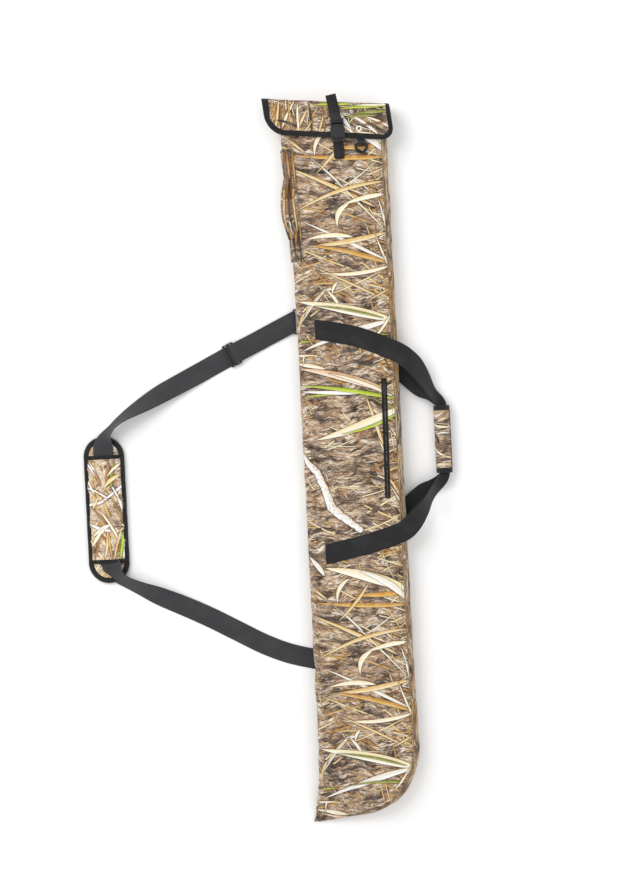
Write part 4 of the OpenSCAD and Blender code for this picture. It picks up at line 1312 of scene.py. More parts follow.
def make_flap():
    rows = np.concatenate([np.linspace(-57.5, FOLD_START, 62),
                           np.linspace(FOLD_START, FOLD_END, 12)[1:], np.linspace(FOLD_END, 47.6, 16)[1:]])
    cols = 130
    X = arr([np.linspace(*flap_edges(v, 5.0), cols) for v in rows])
    V = np.broadcast_to(rows[:, None], X.shape)
    P = from_flap(on_flap(X, V, flap_wave(X, V)))
    P[..., 2] = np.maximum(P[..., 2], 1.4)
    faces = grid_faces(*X.shape)
    flat = np.stack([X.ravel(), V.ravel()], 1)
    away = np.hypot(flat[:, 0] - GROMMET[0], flat[:, 1] - GROMMET[1])
    faces = [f for f in faces if min(away[k] for k in f) > 3.7]
    bend_over_fold(cloth("flap_cloth", P, flat, M_FLAP, None, ["flap_panel"], 2.2, (0, 0, 1), 0.0, faces))
    # The foot of the back wall, sewn to the back.
    x = np.linspace(-112, 102, 40)
    foot = [(5.2, 6.0), (5.1, 2.6), (4.4, 1.2), (2.6, 0.75), (-6.0, 0.7)]
    P = from_flap(arr([[(u, y, z) for u in x] for y, z in foot]))
    UV = arr([[(u, 50 + k * 3) for u in x] for k in range(len(foot))])
    cloth("flap_foot", P, UV, M_FLAP, "mouth_cover", ["flap_bridge"], 1.3, None, 0.0)


def bend_over_fold(obj):
    start, end = from_flap(arr([[0, 5.2, 37.0], [0, -5.0, 46.4]])) * MM
    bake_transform(obj)


def flap_outline_path():
    """The flap's outer edge as (x, v) with the direction inwards, and the tape's width there."""
    y0 = FOLD_Y - FLAP_H
    step = 2.0

    def corner(side, radius, degrees, width):
        for a in np.radians(degrees):
            y = y0 + radius + radius * math.sin(a)
            x = side * (FLAP_HALF - radius) + radius * math.cos(a)
            pts.append((x + 0.2 * (FOLD_Y - y) - 8, y, width))

    pts = [(flap_edges(v, 0)[0], v, 12.5) for v in np.arange(44, y0 + 36, -step)]
    corner(-1, 36, np.arange(180, 270.1, 4), 10.5)
    lean = 0.2 * FLAP_H - 8
    low = np.arange(-FLAP_HALF + 36 + lean + step, FLAP_HALF - 26 + lean - step / 2, step)
    pts += [(x, y0, 10.5) for x in low]
    corner(1, 26, np.arange(270, 360.1, 5), 9.0)
    pts += [(flap_edges(v, 0)[1], v, 8.6) for v in np.arange(y0 + 26 + step, 44.1, step)]
    P = arr(pts)
    way = unit(np.gradient(P[:, :2], axis=0))
    inward = np.stack([-way[:, 1], way[:, 0]], 1)
    width = P[:, 2].copy()
    for _ in range(6):
        width[1:-1] = (width[:-2] + width[1:-1] + width[2:]) / 3
    return P[:, :2], inward, width


def make_flap_binding():
    at, inward, width = flap_outline_path()
    shape = arr([(1.0, 1.15), (0.94, 1.7), (0.8, 1.86), (0.55, 1.82), (0.3, 1.78), (0.12, 1.6), (0.03, 0.95),
                 (0, 0), (0.03, -0.9), (0.12, -1.45), (0.4, -1.6), (0.8, -1.6), (0.96, -1.5), (1.0, -1.15)])
    run = run_of(at)
    ease = 1 + 0.02 * np.sin(run / 7.0 + 2 * np.sin(run / 31.0))
    rings = []
    for k, (a, b) in enumerate(shape):
        p = at + inward * (a * width * ease)[:, None]
        rings.append(on_flap(p[:, 0], p[:, 1], b + 0.08 * np.sin(run / 5.0 + k) * (a > 0.5)))
    P = from_flap(arr(rings).transpose(1, 0, 2))
    P[..., 2] = np.maximum(P[..., 2], 1.0)
    uv = wrapped_uv(run_of(shape * [10, 1]), run)
    bend_over_fold(swept("flap_tape", P, M_TAPE, None, ["flap_binding"], uv))
    line = at + inward * (width - 1.9)[:, None]
    where = on_flap(line[:, 0], line[:, 1], 1.9)[at[:, 1] < 2]
    stitches("flap_tape_stitches", [(from_flap(where), (0, 0, 1))], M_THREAD, "flap", "binding",
             pitch=3.6, length=2.7, r=0.33)


def make_grommet():
    profile = [(3.0, -0.5), (3.0, 2.6), (3.15, 3.0), (3.5, 3.25), (4.2, 3.3), (5.0, 3.15), (5.5, 2.85), (5.6, 2.45),
               (5.2, 2.35), (3.7, 2.35), (3.6, 0.0), (5.3, -0.05), (5.6, -0.25), (5.4, -0.5)]
    rings = []
    for a in np.arange(40) * 2 * math.pi / 40:
        x, y = math.cos(a), math.sin(a)
        rings.append([(GROMMET[0] + r * x, GROMMET[1] + r * y, 45.2 + z) for r, z in profile])
    swept("eyelet", from_flap(arr(rings)), M_ENAMEL, "flap", ["grommet"], ring=True)


make_flap()
make_flap_binding()
make_grommet()


# ---- The buckle and its webbing --------------------------------------------------------------
def buckle_tape(name, line, body, nodes, t=1.15, w=20.0, shape=None):
    """Tape across the buckle's X, along (y, z) or (x, y, z) points in the buckle's own frame."""
    pts = spline([(0, *p, 0, 0) if len(p) == 2 else (*p, 0, 0) for p in line], 0.9)[:, :3]
    S = np.tile(arr([1.0, 0, 0]), (len(pts), 1))
    way = unit(np.gradient(pts, axis=0))
    S = unit(S - way * (S * way).sum(1, keepdims=True))
    rings, uvs = tape_points(pts, S, w, t, 6)
    if shape:
        rings = shape(rings)
    swept(name, from_buckle(rings), M_WEB, body, nodes, uvs, sharp=50)


def rounded_end(rings):
    """Rounds the first end of a tape."""
    out = rings.copy()
    for i in range(7):
        s = math.sqrt(max(1 - (1 - i / 7) ** 2.4, 0.02))
        out[i, :, 0] = rings[i, :, 0] * (0.35 + 0.65 * s)
    return out


def leaning_tail(y):
    return -(y - 11.4) * math.tan(math.radians(9))


def make_buckle():
    for node, body, bevel in (("buckle_socket", "socket", 0.9), ("buckle_plug", "plug", 0.7),
                              ("plug_prong_left", "prong_left", 0.35), ("plug_prong_right", "prong_right", 0.35)):
        refined(node, body, M_PLASTIC, bevel)
    for name, body, places, half, z, r in (("buckle_ribs", "socket", (-6.5, -4.2, -1.9), 9.5, 7.45, 0.42),
                                           ("ladder_ribs", "plug", (9.8, 15.2), 10.2, 6.35, 0.55)):
        ribs = [tube_part([(x, y, z) for x in np.linspace(-half, half, 8)], r, 8) for y in places]
        tubes(name, ribs, M_PLASTIC, body, place=from_buckle)
    anchor = [(-2, -0.85), (10, -0.8), (20, -0.77), (30, -0.75), (40, -0.75), (47, -0.8)]
    buckle_tape("anchor_web", [(leaning_tail(max(y, 11.4)), y, z) for y, z in anchor], "flap", ["flap_web_anchor"])
    tail = [(15.0, 2.0), (13.2, 1.6), (11.6, 2.6), (11.2, 4.6), (11.6, 6.6), (13.4, 7.7), (16.5, 7.0),
            (21, 5.0), (27, 2.6), (35, 1.4), (46, 1.2), (56, 1.6), (63.0, 2.6)]
    leaning = [(leaning_tail(y) if y > 16 else 0.0, y, z) for y, z in tail]
    buckle_tape("tail_web", leaning, "plug", ["plug_web_tail"])
    loop = [(-35.6, -5.45), (-30, -5.4), (-26.4, -5.2), (-25.0, -4.2), (-24.7, -2.0), (-24.6, 3.0), (-24.6, 7.0),
            (-24.0, 8.3), (-22.8, 8.6), (-21.6, 8.2), (-21.0, 7.0), (-21.0, 2.0), (-21.0, -3.2), (-21.8, -5.6),
            (-24, -6.5), (-28, -6.6), (-35.6, -6.6)]
    buckle_tape("socket_loop", loop, "socket", ["socket_web"], t=1.1, w=19.6)
    sewn = [(-58.8, -6.0), (-50, -6.0), (-44, -5.9), (-36.4, -5.9)]
    buckle_tape("socket_web_end", sewn, "shell", ["socket_web_sewn"], t=2.0, shape=rounded_end)
    # A box of stitches with its two diagonals.
    x, y0, y1, z = 7.6, -56, -39, -4.85
    a, b, c, d = (arr(p) for p in ((-x, y0, z), (x, y0, z), (x, y1, z), (-x, y1, z)))
    lines = []
    for start, end in ((a, b), (b, c), (c, d), (d, a), (a, c), (b, d)):
        lines.append((from_buckle(arr([start * (1 - s) + end * s for s in np.linspace(0, 1, 8)])), (0, 0, 1)))
    stitches("socket_web_stitches", lines, M_THREAD, "shell", "webbing", pitch=2.6, length=2.0, r=0.28)
    lines = []
    for s in (-8.4, 8.4):
        line = arr([(s + leaning_tail(y), y, -0.12) for y in np.linspace(18, 46, 12)])
        lines.append((from_buckle(line), (0, 0, 1)))
    stitches("anchor_stitches", lines, M_THREAD, "flap", "webbing", pitch=2.6, length=2.0, r=0.28)


make_buckle()


# ---- D-ring ------------------------------------------------------------------------------------
def make_dring():
    at = arr([44.5, 597, 46.4])
    path = [(19, -3.3), (10, -3.35), (4, -3.4), (0, -3.35), (-2.4, -2.35), (-3.35, 0), (-2.4, 2.4), (0, 3.35),
            (2.6, 2.5), (4.6, 0.2), (7, -1.75), (10, -2.15), (18.4, -2.15)]
    C = spline([(0, y, z) for y, z in path], 0.8) + at
    S = np.tile(arr([1.0, 0, 0]), (len(C), 1))
    tape("ring_tab", C, S, 13.5, 1.1, M_WEB, "shell", nodes=["dring_tab"])
    r, c = 10.3, 2.4
    ring = [(x, 0) for x in np.linspace(-r + c, r - c, 8)]
    ring += [(r - c + c * math.sin(a), -c + c * math.cos(a)) for a in np.radians([22, 45, 68, 90])]
    bow = [(r * math.cos(a), -5 - r * math.sin(a)) for a in np.radians(np.arange(0, 180.1, 7.5))]
    ring += [(r, -3.6), *bow, (-r, -3.6)]
    ring += [(-r + c - c * math.cos(a), -c + c * math.sin(a)) for a in np.radians([0, 22, 45, 68])]
    rings = closed_tube(arr([(x, y, 0) for x, y in ring]) + at, 2.45, 14, 3)
    rings[..., 2] = at[2] + (rings[..., 2] - at[2]) * 0.92
    swept("d_ring", rings, M_PAINTED, "dring", ["dring"], ring=True, sharp=0)
    line = arr([(x, 610, 46.4 - 1.55) for x in np.linspace(39.4, 49.6, 6)])
    lines = [(line, (0, 0, 1)), (line + arr([0, 3.2, 0]), (0, 0, 1))]
    stitches("ring_tab_stitches", lines, M_THREAD, "shell", "webbing", pitch=2.4, length=1.9, r=0.26)


make_dring()


# ---- The pocket's zip --------------------------------------------------------------------------
def from_zip(p):
    return turned(p, math.radians(-1), arr([ZIP_TOP[0], ZIP_TOP[1], 0]))


def on_front(points):
    """Moves points given by height over the front fabric to where that fabric is."""
    out = arr(points).copy()
    for p in out:
        z = top_z(p[0], p[1])
        p[2] += 42.6 if z is None else z
    return out


def make_zip():
    for s, name in ((-1, "zip_tape_left"), (1, "zip_tape_right")):
        C = on_front(from_zip(arr([(s * 3.45, v, 0.45) for v in np.linspace(0, -ZIP_L, 90)])))
        S = np.tile(from_zip([[1, 0, 0]])[0] - from_zip([[0, 0, 0]])[0], (len(C), 1))
        from_end = np.minimum(np.arange(90), np.arange(90)[::-1])
        w = 3.9 * np.clip(np.sqrt(from_end / 2.0 + 0.15), 0, 1)
        tape(name, C, S, w, 0.55, M_ZIP, "shell", ["zip_tapes"] if s > 0 else ())
    pitch = 1.5
    k = np.arange(int((ZIP_L - 6) / pitch) * 8)
    a = k * 2 * math.pi / 8
    coils = []
    for s in (-1, 1):
        line = np.stack([s * (0.92 + 0.74 * np.cos(a)), -3.5 - k * pitch / 8, 0.85 + 0.48 * np.sin(a)], 1)
        coils.append(tube_part(on_front(from_zip(line)), 0.3, 5))
    tubes("zip_teeth", coils, M_COIL, "shell", ["zip_coils"])
    for node, body, bevel in (("zip_stops", "shell", 0.5), ("zip_slider", "zip_slider", 0.45),
                              ("zip_pull", "zip_pull", 0.3)):
        refined(node, body, M_PAINTED, bevel)
    sides = [[(x, v, 0.8) for v in np.linspace(-1.5, -ZIP_L + 1.5, 90)] for x in (-4.6, 4.6)]
    ends = [[(x, v, 0.9) for x in np.linspace(-4, 4, 6)] for v in (-1.6, -ZIP_L + 1.6)]
    lines = [(on_front(from_zip(line)), (0, 0, 1)) for line in sides + ends]
    stitches("zip_stitches", lines, M_THREAD, "shell", "zip_tape", pitch=3.2, length=2.5, r=0.24)


def make_pouch():
    low, high = (arr(v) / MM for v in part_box("pocket_pouch"))
    x, y = np.meshgrid(np.linspace(low[0] + 1, high[0] - 1, 26), np.linspace(low[1] + 1, high[1] - 1, 44))
    P = np.stack([x, y, np.full(x.shape, high[2] - 0.35)], 2)
    cloth("pocket_cloth", P, P[..., :2], M_LINING, "shell", ["pocket_pouch"], 0.7, (0, 0, 1))


make_zip()
make_pouch()


# ---- The grab handle on the left shoulder --------------------------------------------------------
def on_left_round(a, y, lift):
    """A place on the left round: a in degrees, lift out from the fabric in millimetres."""
    a, y, lift = np.broadcast_arrays(np.radians(arr(a)), arr(y), arr(lift))
    r = 21.0 + lift
    return np.stack([x_left(y) + 21 + r * np.cos(a), y, 21 + r * np.sin(a)], -1)


def round_patch(name, angles, y0, y1, lift, t, cols, seed, nodes=()):
    """A patch of the grab handle's fabric that lies on the left round."""
    ys = np.linspace(y0, y1, max(6, int(abs(y1 - y0) / 3)))
    A, Y = np.meshgrid(np.linspace(*angles, cols), ys)
    edge = np.sin(np.linspace(0, math.pi, cols))[None, :] ** 0.4
    wave = 0.25 * ripples(A * 0.37, Y, 22, seed) * edge
    UV = np.stack([8.0 - (A - angles[0]) / 57.3 * 21, Y], 2)
    obj = cloth(name, on_left_round(A, Y, lift + wave), UV, M_GRAB, "shell", nodes, t, (-1, 0, 0))
    mod = obj.modifiers.new("soft_edge", "BEVEL")
    mod.width, mod.segments, mod.limit_method = 0.35 * MM, 2, "ANGLE"


GRAB = [[-96.6, 431, 34.9, -55, 21], [-100.5, 446, 35, -55, 21], [-105.3, 465, 35, -55, 21],
        [-106.8, 486, 35, -55, 21], [-105.6, 507, 35, -55, 21], [-102.6, 524, 35, -55, 21],
        [-100, 537, 34.9, -55, 21]]


def make_grab_handle():
    round_patch("grab_patch", (94, 177), 382, 596, 1.3, 1.2, 26, 3, ["grab_base"])
    round_patch("grab_end_low", (118, 173), 382.5, 432, 3.8, 2.2, 16, 5, ["grab_ends"])
    round_patch("grab_end_high", (118, 173), 536, 595.5, 3.8, 2.2, 16, 7)
    C, S, w = route_lines([[-95.4, 426, 34.6, -55, 20]] + GRAB + [[-98.6, 542, 34.5, -55, 20]], 2.5)
    rings, uvs = tape_points(C, S, w, 2.6, 8)
    up = unit(np.cross(unit(np.gradient(C, axis=0)), S))
    across, run = uvs[..., 0], uvs[..., 1]
    fold = 0.5 * np.cos(across / 21 * 2 * math.pi * 1.5 + 0.6 * np.sin(run / 30))
    fold = (fold + 0.25 * ripples(across * 2, run, 40, 9)) * np.sin(np.linspace(0, math.pi, len(C)))[:, None]
    rings = rings + up[:, None, :] * fold[..., None]
    uv = np.stack([across * 0.62, rings[..., 1]], 2)
    m = len(rings)
    half = m // 2
    # Each half is a piece of its own.
    for name, part, root, free, nodes in (("grab_strap_low", slice(0, half + 1), 2, 12, ["grab_loop"]),
                                          ("grab_strap_high", slice(half, m), m - 3, m - 13, [])):
        obj = swept(name, rings[part], M_GRAB, None, nodes, uv[part], sharp=55)
        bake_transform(obj)
    tacks = [(on_left_round(np.linspace(121, 170, 14), y, 4.0), arr([-0.7, 0, 0.7])) for y in (425, 429.5, 538.5, 543)]
    stitches("grab_tacks", tacks, M_THREAD, "shell", "camo_fabric", pitch=1.7, length=1.5, r=0.4)
    lines = []
    for angles, y0, y1, lift in (((96.5, 174.5), 384, 594, 1.45), ((120, 170.5), 384.5, 424, 4.0),
                                 ((120, 170.5), 545, 593.5, 4.0)):
        for a in angles:
            out = (math.cos(math.radians(a)), 0, math.sin(math.radians(a)))
            lines.append((on_left_round(a, np.linspace(y0, y1, 50), lift), out))
    stitches("grab_stitches", lines, M_TAN_THREAD, "shell", "camo_fabric", pitch=3.6, length=2.7, r=0.3)


make_grab_handle()


# ---- Carry handles -------------------------------------------------------------------------------
WEB_W, WEB_T = 38.0, 1.4
LOOP_FRONT = [[92, 202, 43.2, -2, WEB_W], [108, 191, 42, -8, WEB_W], [124, 175, 38.5, -18, WEB_W],
              [139, 151, 33, -36, 36], [152, 127, 26.5, -46, 30], [160.5, 114.5, 20.5, -34, 25],
              [170.4, 102, 17.2, -3, 20], [171.9, 91, 17, 0, 20], [172, 34, 17, 0, 20],
              [172, -25, 17, 0, 20], [170.4, -37, 17.2, -3, 20], [161, -49.5, 21, -34, 25],
              [150, -62, 28, -52, 30], [138, -79, 33, -56, 34], [124, -100, 38.5, -38, 37],
              [106, -122, 42, -16, WEB_W], [91, -135, 43.2, -4, WEB_W]]
LOOP_BACK = [[85.5, 182, 2.2, 0, WEB_W], [98, 170, 3.4, 0, WEB_W], [115, 150, 6.5, -14, 36],
             [133, 129, 10, -28, 32], [150, 119, 13, -32, 27], [160, 112, 12.8, -26, 25],
             [170.4, 102, 11, -3, 20], [171.9, 91, 10.8, 0, 20], [172, 34, 10.8, 0, 20],
             [172, -25, 10.8, 0, 20], [170.4, -37, 11, -3, 20], [160, -46.5, 12.8, -26, 25],
             [146, -55, 13, -32, 30], [130, -64, 9.5, -24, 34], [114, -80, 6, -10, 37],
             [98, -98, 3.2, 0, WEB_W], [85.5, -112, 2.2, 0, WEB_W]]


def soft_tape(name, C, S, w, mat, body, nodes, seed, curl=2.4, sway=0.25):
    """Webbing that hollows where it is squeezed narrower than its cloth, and sways between its ends."""
    rings, uvs = tape_points(C, S, w, WEB_T, 9)
    up = unit(np.cross(unit(np.gradient(C, axis=0)), S))
    across = uvs[..., 0] / (w[:, None] / 2)
    hollow = (np.clip((WEB_W - w) / 18, 0, 1) * curl)[:, None] * (across ** 2 - 0.35)
    free = np.clip(np.arange(len(C)) / 14, 0, 1) * np.clip(np.arange(len(C))[::-1] / 14, 0, 1)
    wave = sway * free[:, None] * ripples(uvs[..., 0], uvs[..., 1], 46, seed)
    rings = rings + up[:, None, :] * (hollow + wave)[..., None]
    uv = np.stack([uvs[..., 0] / w[:, None] * WEB_W, uvs[..., 1]], 2)
    return swept(name, rings, mat, body, nodes, uv, sharp=50)


def handle_stitches(C, S):
    """The stitching of the front webbing's two sewn ends: edges, rows across, and a cross."""
    up = (0, 0, 1)
    over = arr([0, 0, WEB_T / 2 + 0.05])
    side = S / np.linalg.norm(S, axis=1, keepdims=True)
    sewn = [i for i in range(len(C)) if C[i, 0] < 77]
    lines = []
    for rows in ([i for i in sewn if C[i, 1] > 0], [i for i in sewn if C[i, 1] <= 0][::-1]):
        rows = rows[1:]
        for s in (-16.6, 16.6):
            line = arr([C[i] + side[i] * s + over for i in rows])
            lines.append((line[line[:, 0] > -56], up))
        for x in (-55, 66, 71):
            k = min(rows, key=lambda i: abs(C[i, 0] - x))
            way = arr([0, 1, 0]) if x < 0 else side[k]
            lines.append((arr([C[k] + way * u + over for u in np.linspace(-16.4, 16.4, 12)]), up))
        a, b = (min(rows, key=lambda i: abs(C[i, 0] - x)) for x in (-52, -16))
        u = np.linspace(0, 1, 16)
        mid = arr([C[a] * (1 - k) + C[b] * k for k in u])
        for s in (-16, 16):
            lines.append((mid + side[b] * (s * (1 - 2 * u))[:, None] + [0, 0, WEB_T / 2 + 0.1], up))
    stitches("handle_stitches", lines, M_THREAD, "shell", "webbing", pitch=3.4, length=2.6, r=0.32)


def make_handles():
    upper, lower = ([[x, y, 42.95, 0, WEB_W] for x, y in line] for line in (SEWN_UPPER, SEWN_LOWER))
    C, S, w = route_lines(upper + LOOP_FRONT + lower[::-1], 3.0, True, True)
    S = unit(S)
    # The sewn ends lie on the front fabric, and rise off it at its edge.
    for i in range(len(C)):
        if C[i, 0] < 88:
            zs = [top_z(C[i, 0] + S[i, 0] * u, C[i, 1] + S[i, 1] * u) for u in (-17, -9, 0, 9, 17)]
            zs = [z for z in zs if z is not None]
            rise = np.clip((C[i, 0] - 70) / 18, 0, 1)
            C[i, 2] = (max(zs) + WEB_T / 2 + 0.05) * (1 - rise) + C[i, 2] * rise if zs else C[i, 2]
    for _ in range(3):
        C[1:-1, 2] = (C[:-2, 2] + 2 * C[1:-1, 2] + C[2:, 2]) / 4
    obj = soft_tape("front_handle", C, S, w, M_WEB, None, ["handle_web_front_sewn", "handle_loop_front"], 51)
    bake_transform(obj)
    handle_stitches(C, S)
    C, S, w = route_lines(LOOP_BACK, 3.0, True, True)
    obj = soft_tape("back_handle", C, S, w, M_WEB, None, ["handle_loop_back"], 57)
    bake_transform(obj)


GRIP_AT = arr([172, 33, 14])


def grip_half(name, s, body, nodes):
    """Half of the padded grip, with its outer face and the hollow that takes the webbing."""
    end = [64.0, 63.4, *np.linspace(62, 54, 5)]
    ys = np.concatenate([end, np.linspace(50, -50, 44), -arr(end)[::-1]])
    angles = np.radians(np.linspace(0, 180, 34))
    rings, uvs = [], []
    for y in ys:
        bound = np.clip((abs(y) - 53.5) / 1.5, 0, 1)
        end = np.clip((abs(y) - 62) / 2.2, 0, 1)
        swell = 1 - 0.045 * bound - 0.05 * end ** 2
        ring, uv = [], []
        for a in angles:
            wob = 0.35 * float(ripples(arr(15 * a), arr(y), 30, 61 + int(s > 0))) * (1 - bound)
            high = max((9.75 * swell + wob) * math.sin(a), 0.18)
            ring.append((-(15.35 * swell + wob) * math.cos(a), y, s * high))
            uv.append((-15.5 + 31 * a / math.pi, y))
        for a in angles[::-1]:
            ring.append((-12.4 * math.cos(a), y, s * max(min(9 * math.sin(a), 5.6), 0.18)))
            uv.append((14 - 28 * a / math.pi + 40, y + 150))
        rings.append(ring)
        uvs.append(uv)
    P = arr(rings) + GRIP_AT
    m, n = P.shape[:2]
    faces = grid_faces(m, n, True)
    half = len(angles)
    for base in (0, (m - 1) * n):
        faces += [(base + j, base + j + 1, base + n - 2 - j, base + n - 1 - j) for j in range(half - 1)]
    me = mesh_from(name, P.reshape(-1, 3), faces, arr(uvs).reshape(-1, 2), sharp=48)
    obj = add_piece(name, me, M_GRIP, body, nodes)


def grip_trim(name, s, body):
    """The black tape round each end of a half, and the fastening strip down its outer edge."""
    parts = []
    section = [(54.6, 0.0), (54.9, 0.55), (56.5, 0.72), (61.5, 0.7), (63.6, 0.45), (64.3, -0.4), (64.2, -2.2),
               (62.5, -2.0), (55.5, -1.2)]
    for end in (-1, 1):
        rings = []
        for a in np.radians(np.linspace(2, 178, 26)):
            ring = []
            for y, up in section:
                out = up - 0.3 * (y > 62)
                ring.append((-(14.75 + out) * math.cos(a), end * y, s * max((9.35 + out) * math.sin(a), 0.2)))
            rings.append(ring)
        parts.append(swept_part(arr(rings) + GRIP_AT, 1.6, np.arange(26) * 1.5))
    ys = np.linspace(55, -55, 40)
    outline = [(12.6, 0.2), (14.2, 0.2), (15.35, 0.25), (15.7, 0.9), (15.5, 2.6), (14.9, 4.2), (14.2, 4.1),
               (14.4, 2.6)]
    parts.append(swept_part(arr([[(x, y, s * z) for x, z in outline] for y in ys]) + GRIP_AT, 1.3, ys))
    points, faces, uv = joined(parts)
    add_piece(name, mesh_from(name, points, faces, uv, sharp=50), M_TAPE, body)


make_handles()
grip_half("grip_upper", 1, "grip_cover", ["grip_cover"])
grip_half("grip_lower", -1, "carry_handle", ["grip_base"])
grip_trim("grip_upper_tape", 1, "grip_cover")
grip_trim("grip_lower_tape", -1, "carry_handle")


# ---- Shoulder strap --------------------------------------------------------------------------------
STRAP_Z, RETURN_Z = 0.95, 5.05
RING_Y = 271
STRAP = [[-99.6, 271, STRAP_Z, 0, WEB_W], [-150, 247.2, STRAP_Z, 0, WEB_W], [-221, 214, STRAP_Z, 0, WEB_W],
         [-257, 196.5, STRAP_Z, 0, WEB_W], [-290, 180, 2.2, 2, WEB_W], [-325, 163, 5, 8, WEB_W],
         [-360, 146, 9, 18, WEB_W], [-395, 127, 14.5, 34, 36], [-425, 110, 20, 52, 33],
         [-445, 96, 23.5, 62, 31], [-457.5, 84, 22, 62, 30], [-466.5, 73.5, 17.6, 46, 30],
         [-472, 62, 13.2, 14, 33], [-475, 49, 11, 0, WEB_W], [-475, 30, 10.6, 0, WEB_W],
         [-475, -70, 10.6, 0, WEB_W], [-474, -150, 10.6, 0, WEB_W], [-471.5, -172, 11.2, 6, 37],
         [-465, -188, 13.6, 26, 36], [-454, -200, 15, 44, 35], [-439, -210, 14.4, 48, 35],
         [-415, -222.5, 11.6, 40, 36], [-383, -238, 7.6, 22, WEB_W], [-340, -258, 3.4, 8, WEB_W],
         [-290, -283, 1.1, 0, WEB_W], [-240, -311, STRAP_Z, 0, WEB_W], [-190, -339, STRAP_Z, 0, WEB_W],
         [-150, -357, STRAP_Z, 0, WEB_W], [-120, -366.6, STRAP_Z, 0, WEB_W],
         [-99.9, -371.6, STRAP_Z, 0, WEB_W]]


def make_strap():
    root = [[-90, -374, STRAP_Z, 0, WEB_W], [-80.5, -376.4, STRAP_Z, 0, WEB_W]]
    C, S, w = route_lines(STRAP + root, 3.2, True, False)
    free = np.clip((-C[:, 0] - 112) / 60, 0, 1)
    C[:, 2] = np.maximum(C[:, 2] + 0.5 * free * (1 + ripples(C[:, 0], C[:, 1], 110, 71)), STRAP_Z)
    cut = min(range(len(C) // 2, len(C)), key=lambda i: abs(C[i, 0] + 110))
    soft_tape("strap_web", C[:cut + 1], S[:cut + 1], w[:cut + 1], M_STRAP, "shoulder_strap", ["strap_webbing"], 73,
              curl=3.0, sway=0.0)
    obj = soft_tape("strap_root", C[cut:], S[cut:], w[cut:], M_STRAP, None, ["strap_lower_root"], 74, sway=0.0)
    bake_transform(obj)
    r = 1.35 + WEB_T / 2
    turn = np.radians(np.arange(0, 181, 15))
    arc = np.stack([-99.5 + r * np.sin(turn), np.full(len(turn), RING_Y), 3.0 - r * np.cos(turn)], 1)
    up_y = arr([0, 1.0, 0])
    tape("strap_turn", arc, np.tile(up_y, (len(arc), 1)), WEB_W, WEB_T, M_STRAP, "shoulder_strap",
         nodes=["strap_fold"])
    back = [[-99.6, RING_Y, RETURN_Z, 0, WEB_W], [-112, 265.2, 4.0, 0, WEB_W], [-138, 253, 3.0, 0, WEB_W],
            [-180, 232.9, 3.2, 0, WEB_W], [-204, 221.8, 6.6, 0, WEB_W], [-213, 217.6, 8.3, 0, WEB_W],
            [-219.5, 214.6, 7.9, 0, WEB_W]]
    C, S, w = route_lines(back, 2.0, True, False)
    obj = soft_tape("strap_doubled", C, S, w, M_STRAP, None, ["strap_return"], 75, sway=0.0)
    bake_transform(obj)
    tab = [(8.6, -1.85), (5, -1.9), (2, -2.0), (0, -2.0), (-1.4, -1.4), (-1.95, 0), (-1.4, 1.4), (0, 1.95),
           (1.5, 1.6), (3.2, 0.4), (5.2, -0.6), (8.6, -0.75)]
    pts = spline([(-90.2 + x, RING_Y, 3.0 + z, 0, 0) for x, z in tab], 0.6)[:, :3]
    tape("ring_sewn_tab", pts, np.tile(up_y, (len(pts), 1)), WEB_W, 1.1, M_STRAP, "shell", nodes=["strap_ring_tab"])
    loop = []
    for x, y, first in ((-91.9, 291.8, 0), (-97.8, 291.8, 90), (-97.8, 250.2, 180), (-91.9, 250.2, 270)):
        for a in np.radians(np.arange(first, first + 91, 22.5)):
            loop.append((x + 1.7 * math.cos(a), y + 1.7 * math.sin(a), 3.0, 0, 0))
    rings = closed_tube(spline(loop + loop[:1], 1.5)[:-1, :3], 1.2, 10, 2)
    swept("strap_loop_ring", rings, M_PAINTED, "shell", ["strap_ring"], ring=True, sharp=0)
    refined("strap_slider", "strap_slider", M_PLASTIC, 0.8)


make_strap()


# ---- Shoulder pad ------------------------------------------------------------------------------------
PAD = arr([-475, -69, 0])
PAD_W, PAD_L = 78, 280
CUSHION_W, CUSHION_L = 58, 260


def stadium_path():
    """Points round the pad's edge, a stadium, with the outward direction at each."""
    step = 3.0
    r, h = PAD_W / 2, (PAD_L - PAD_W) / 2
    rows = [(r, y, 1, 0) for y in np.arange(-h, h, step)]
    for first, middle in ((0, h), (math.pi, -h)):
        turn = np.arange(first, first + math.pi, step / r)
        rows += [(r * math.cos(a), middle + r * math.sin(a), math.cos(a), math.sin(a)) for a in turn]
        if first == 0:
            rows += [(-r, y, -1, 0) for y in np.arange(h, -h, -step)]
    return arr(rows)[:, :2], arr(rows)[:, 2:]


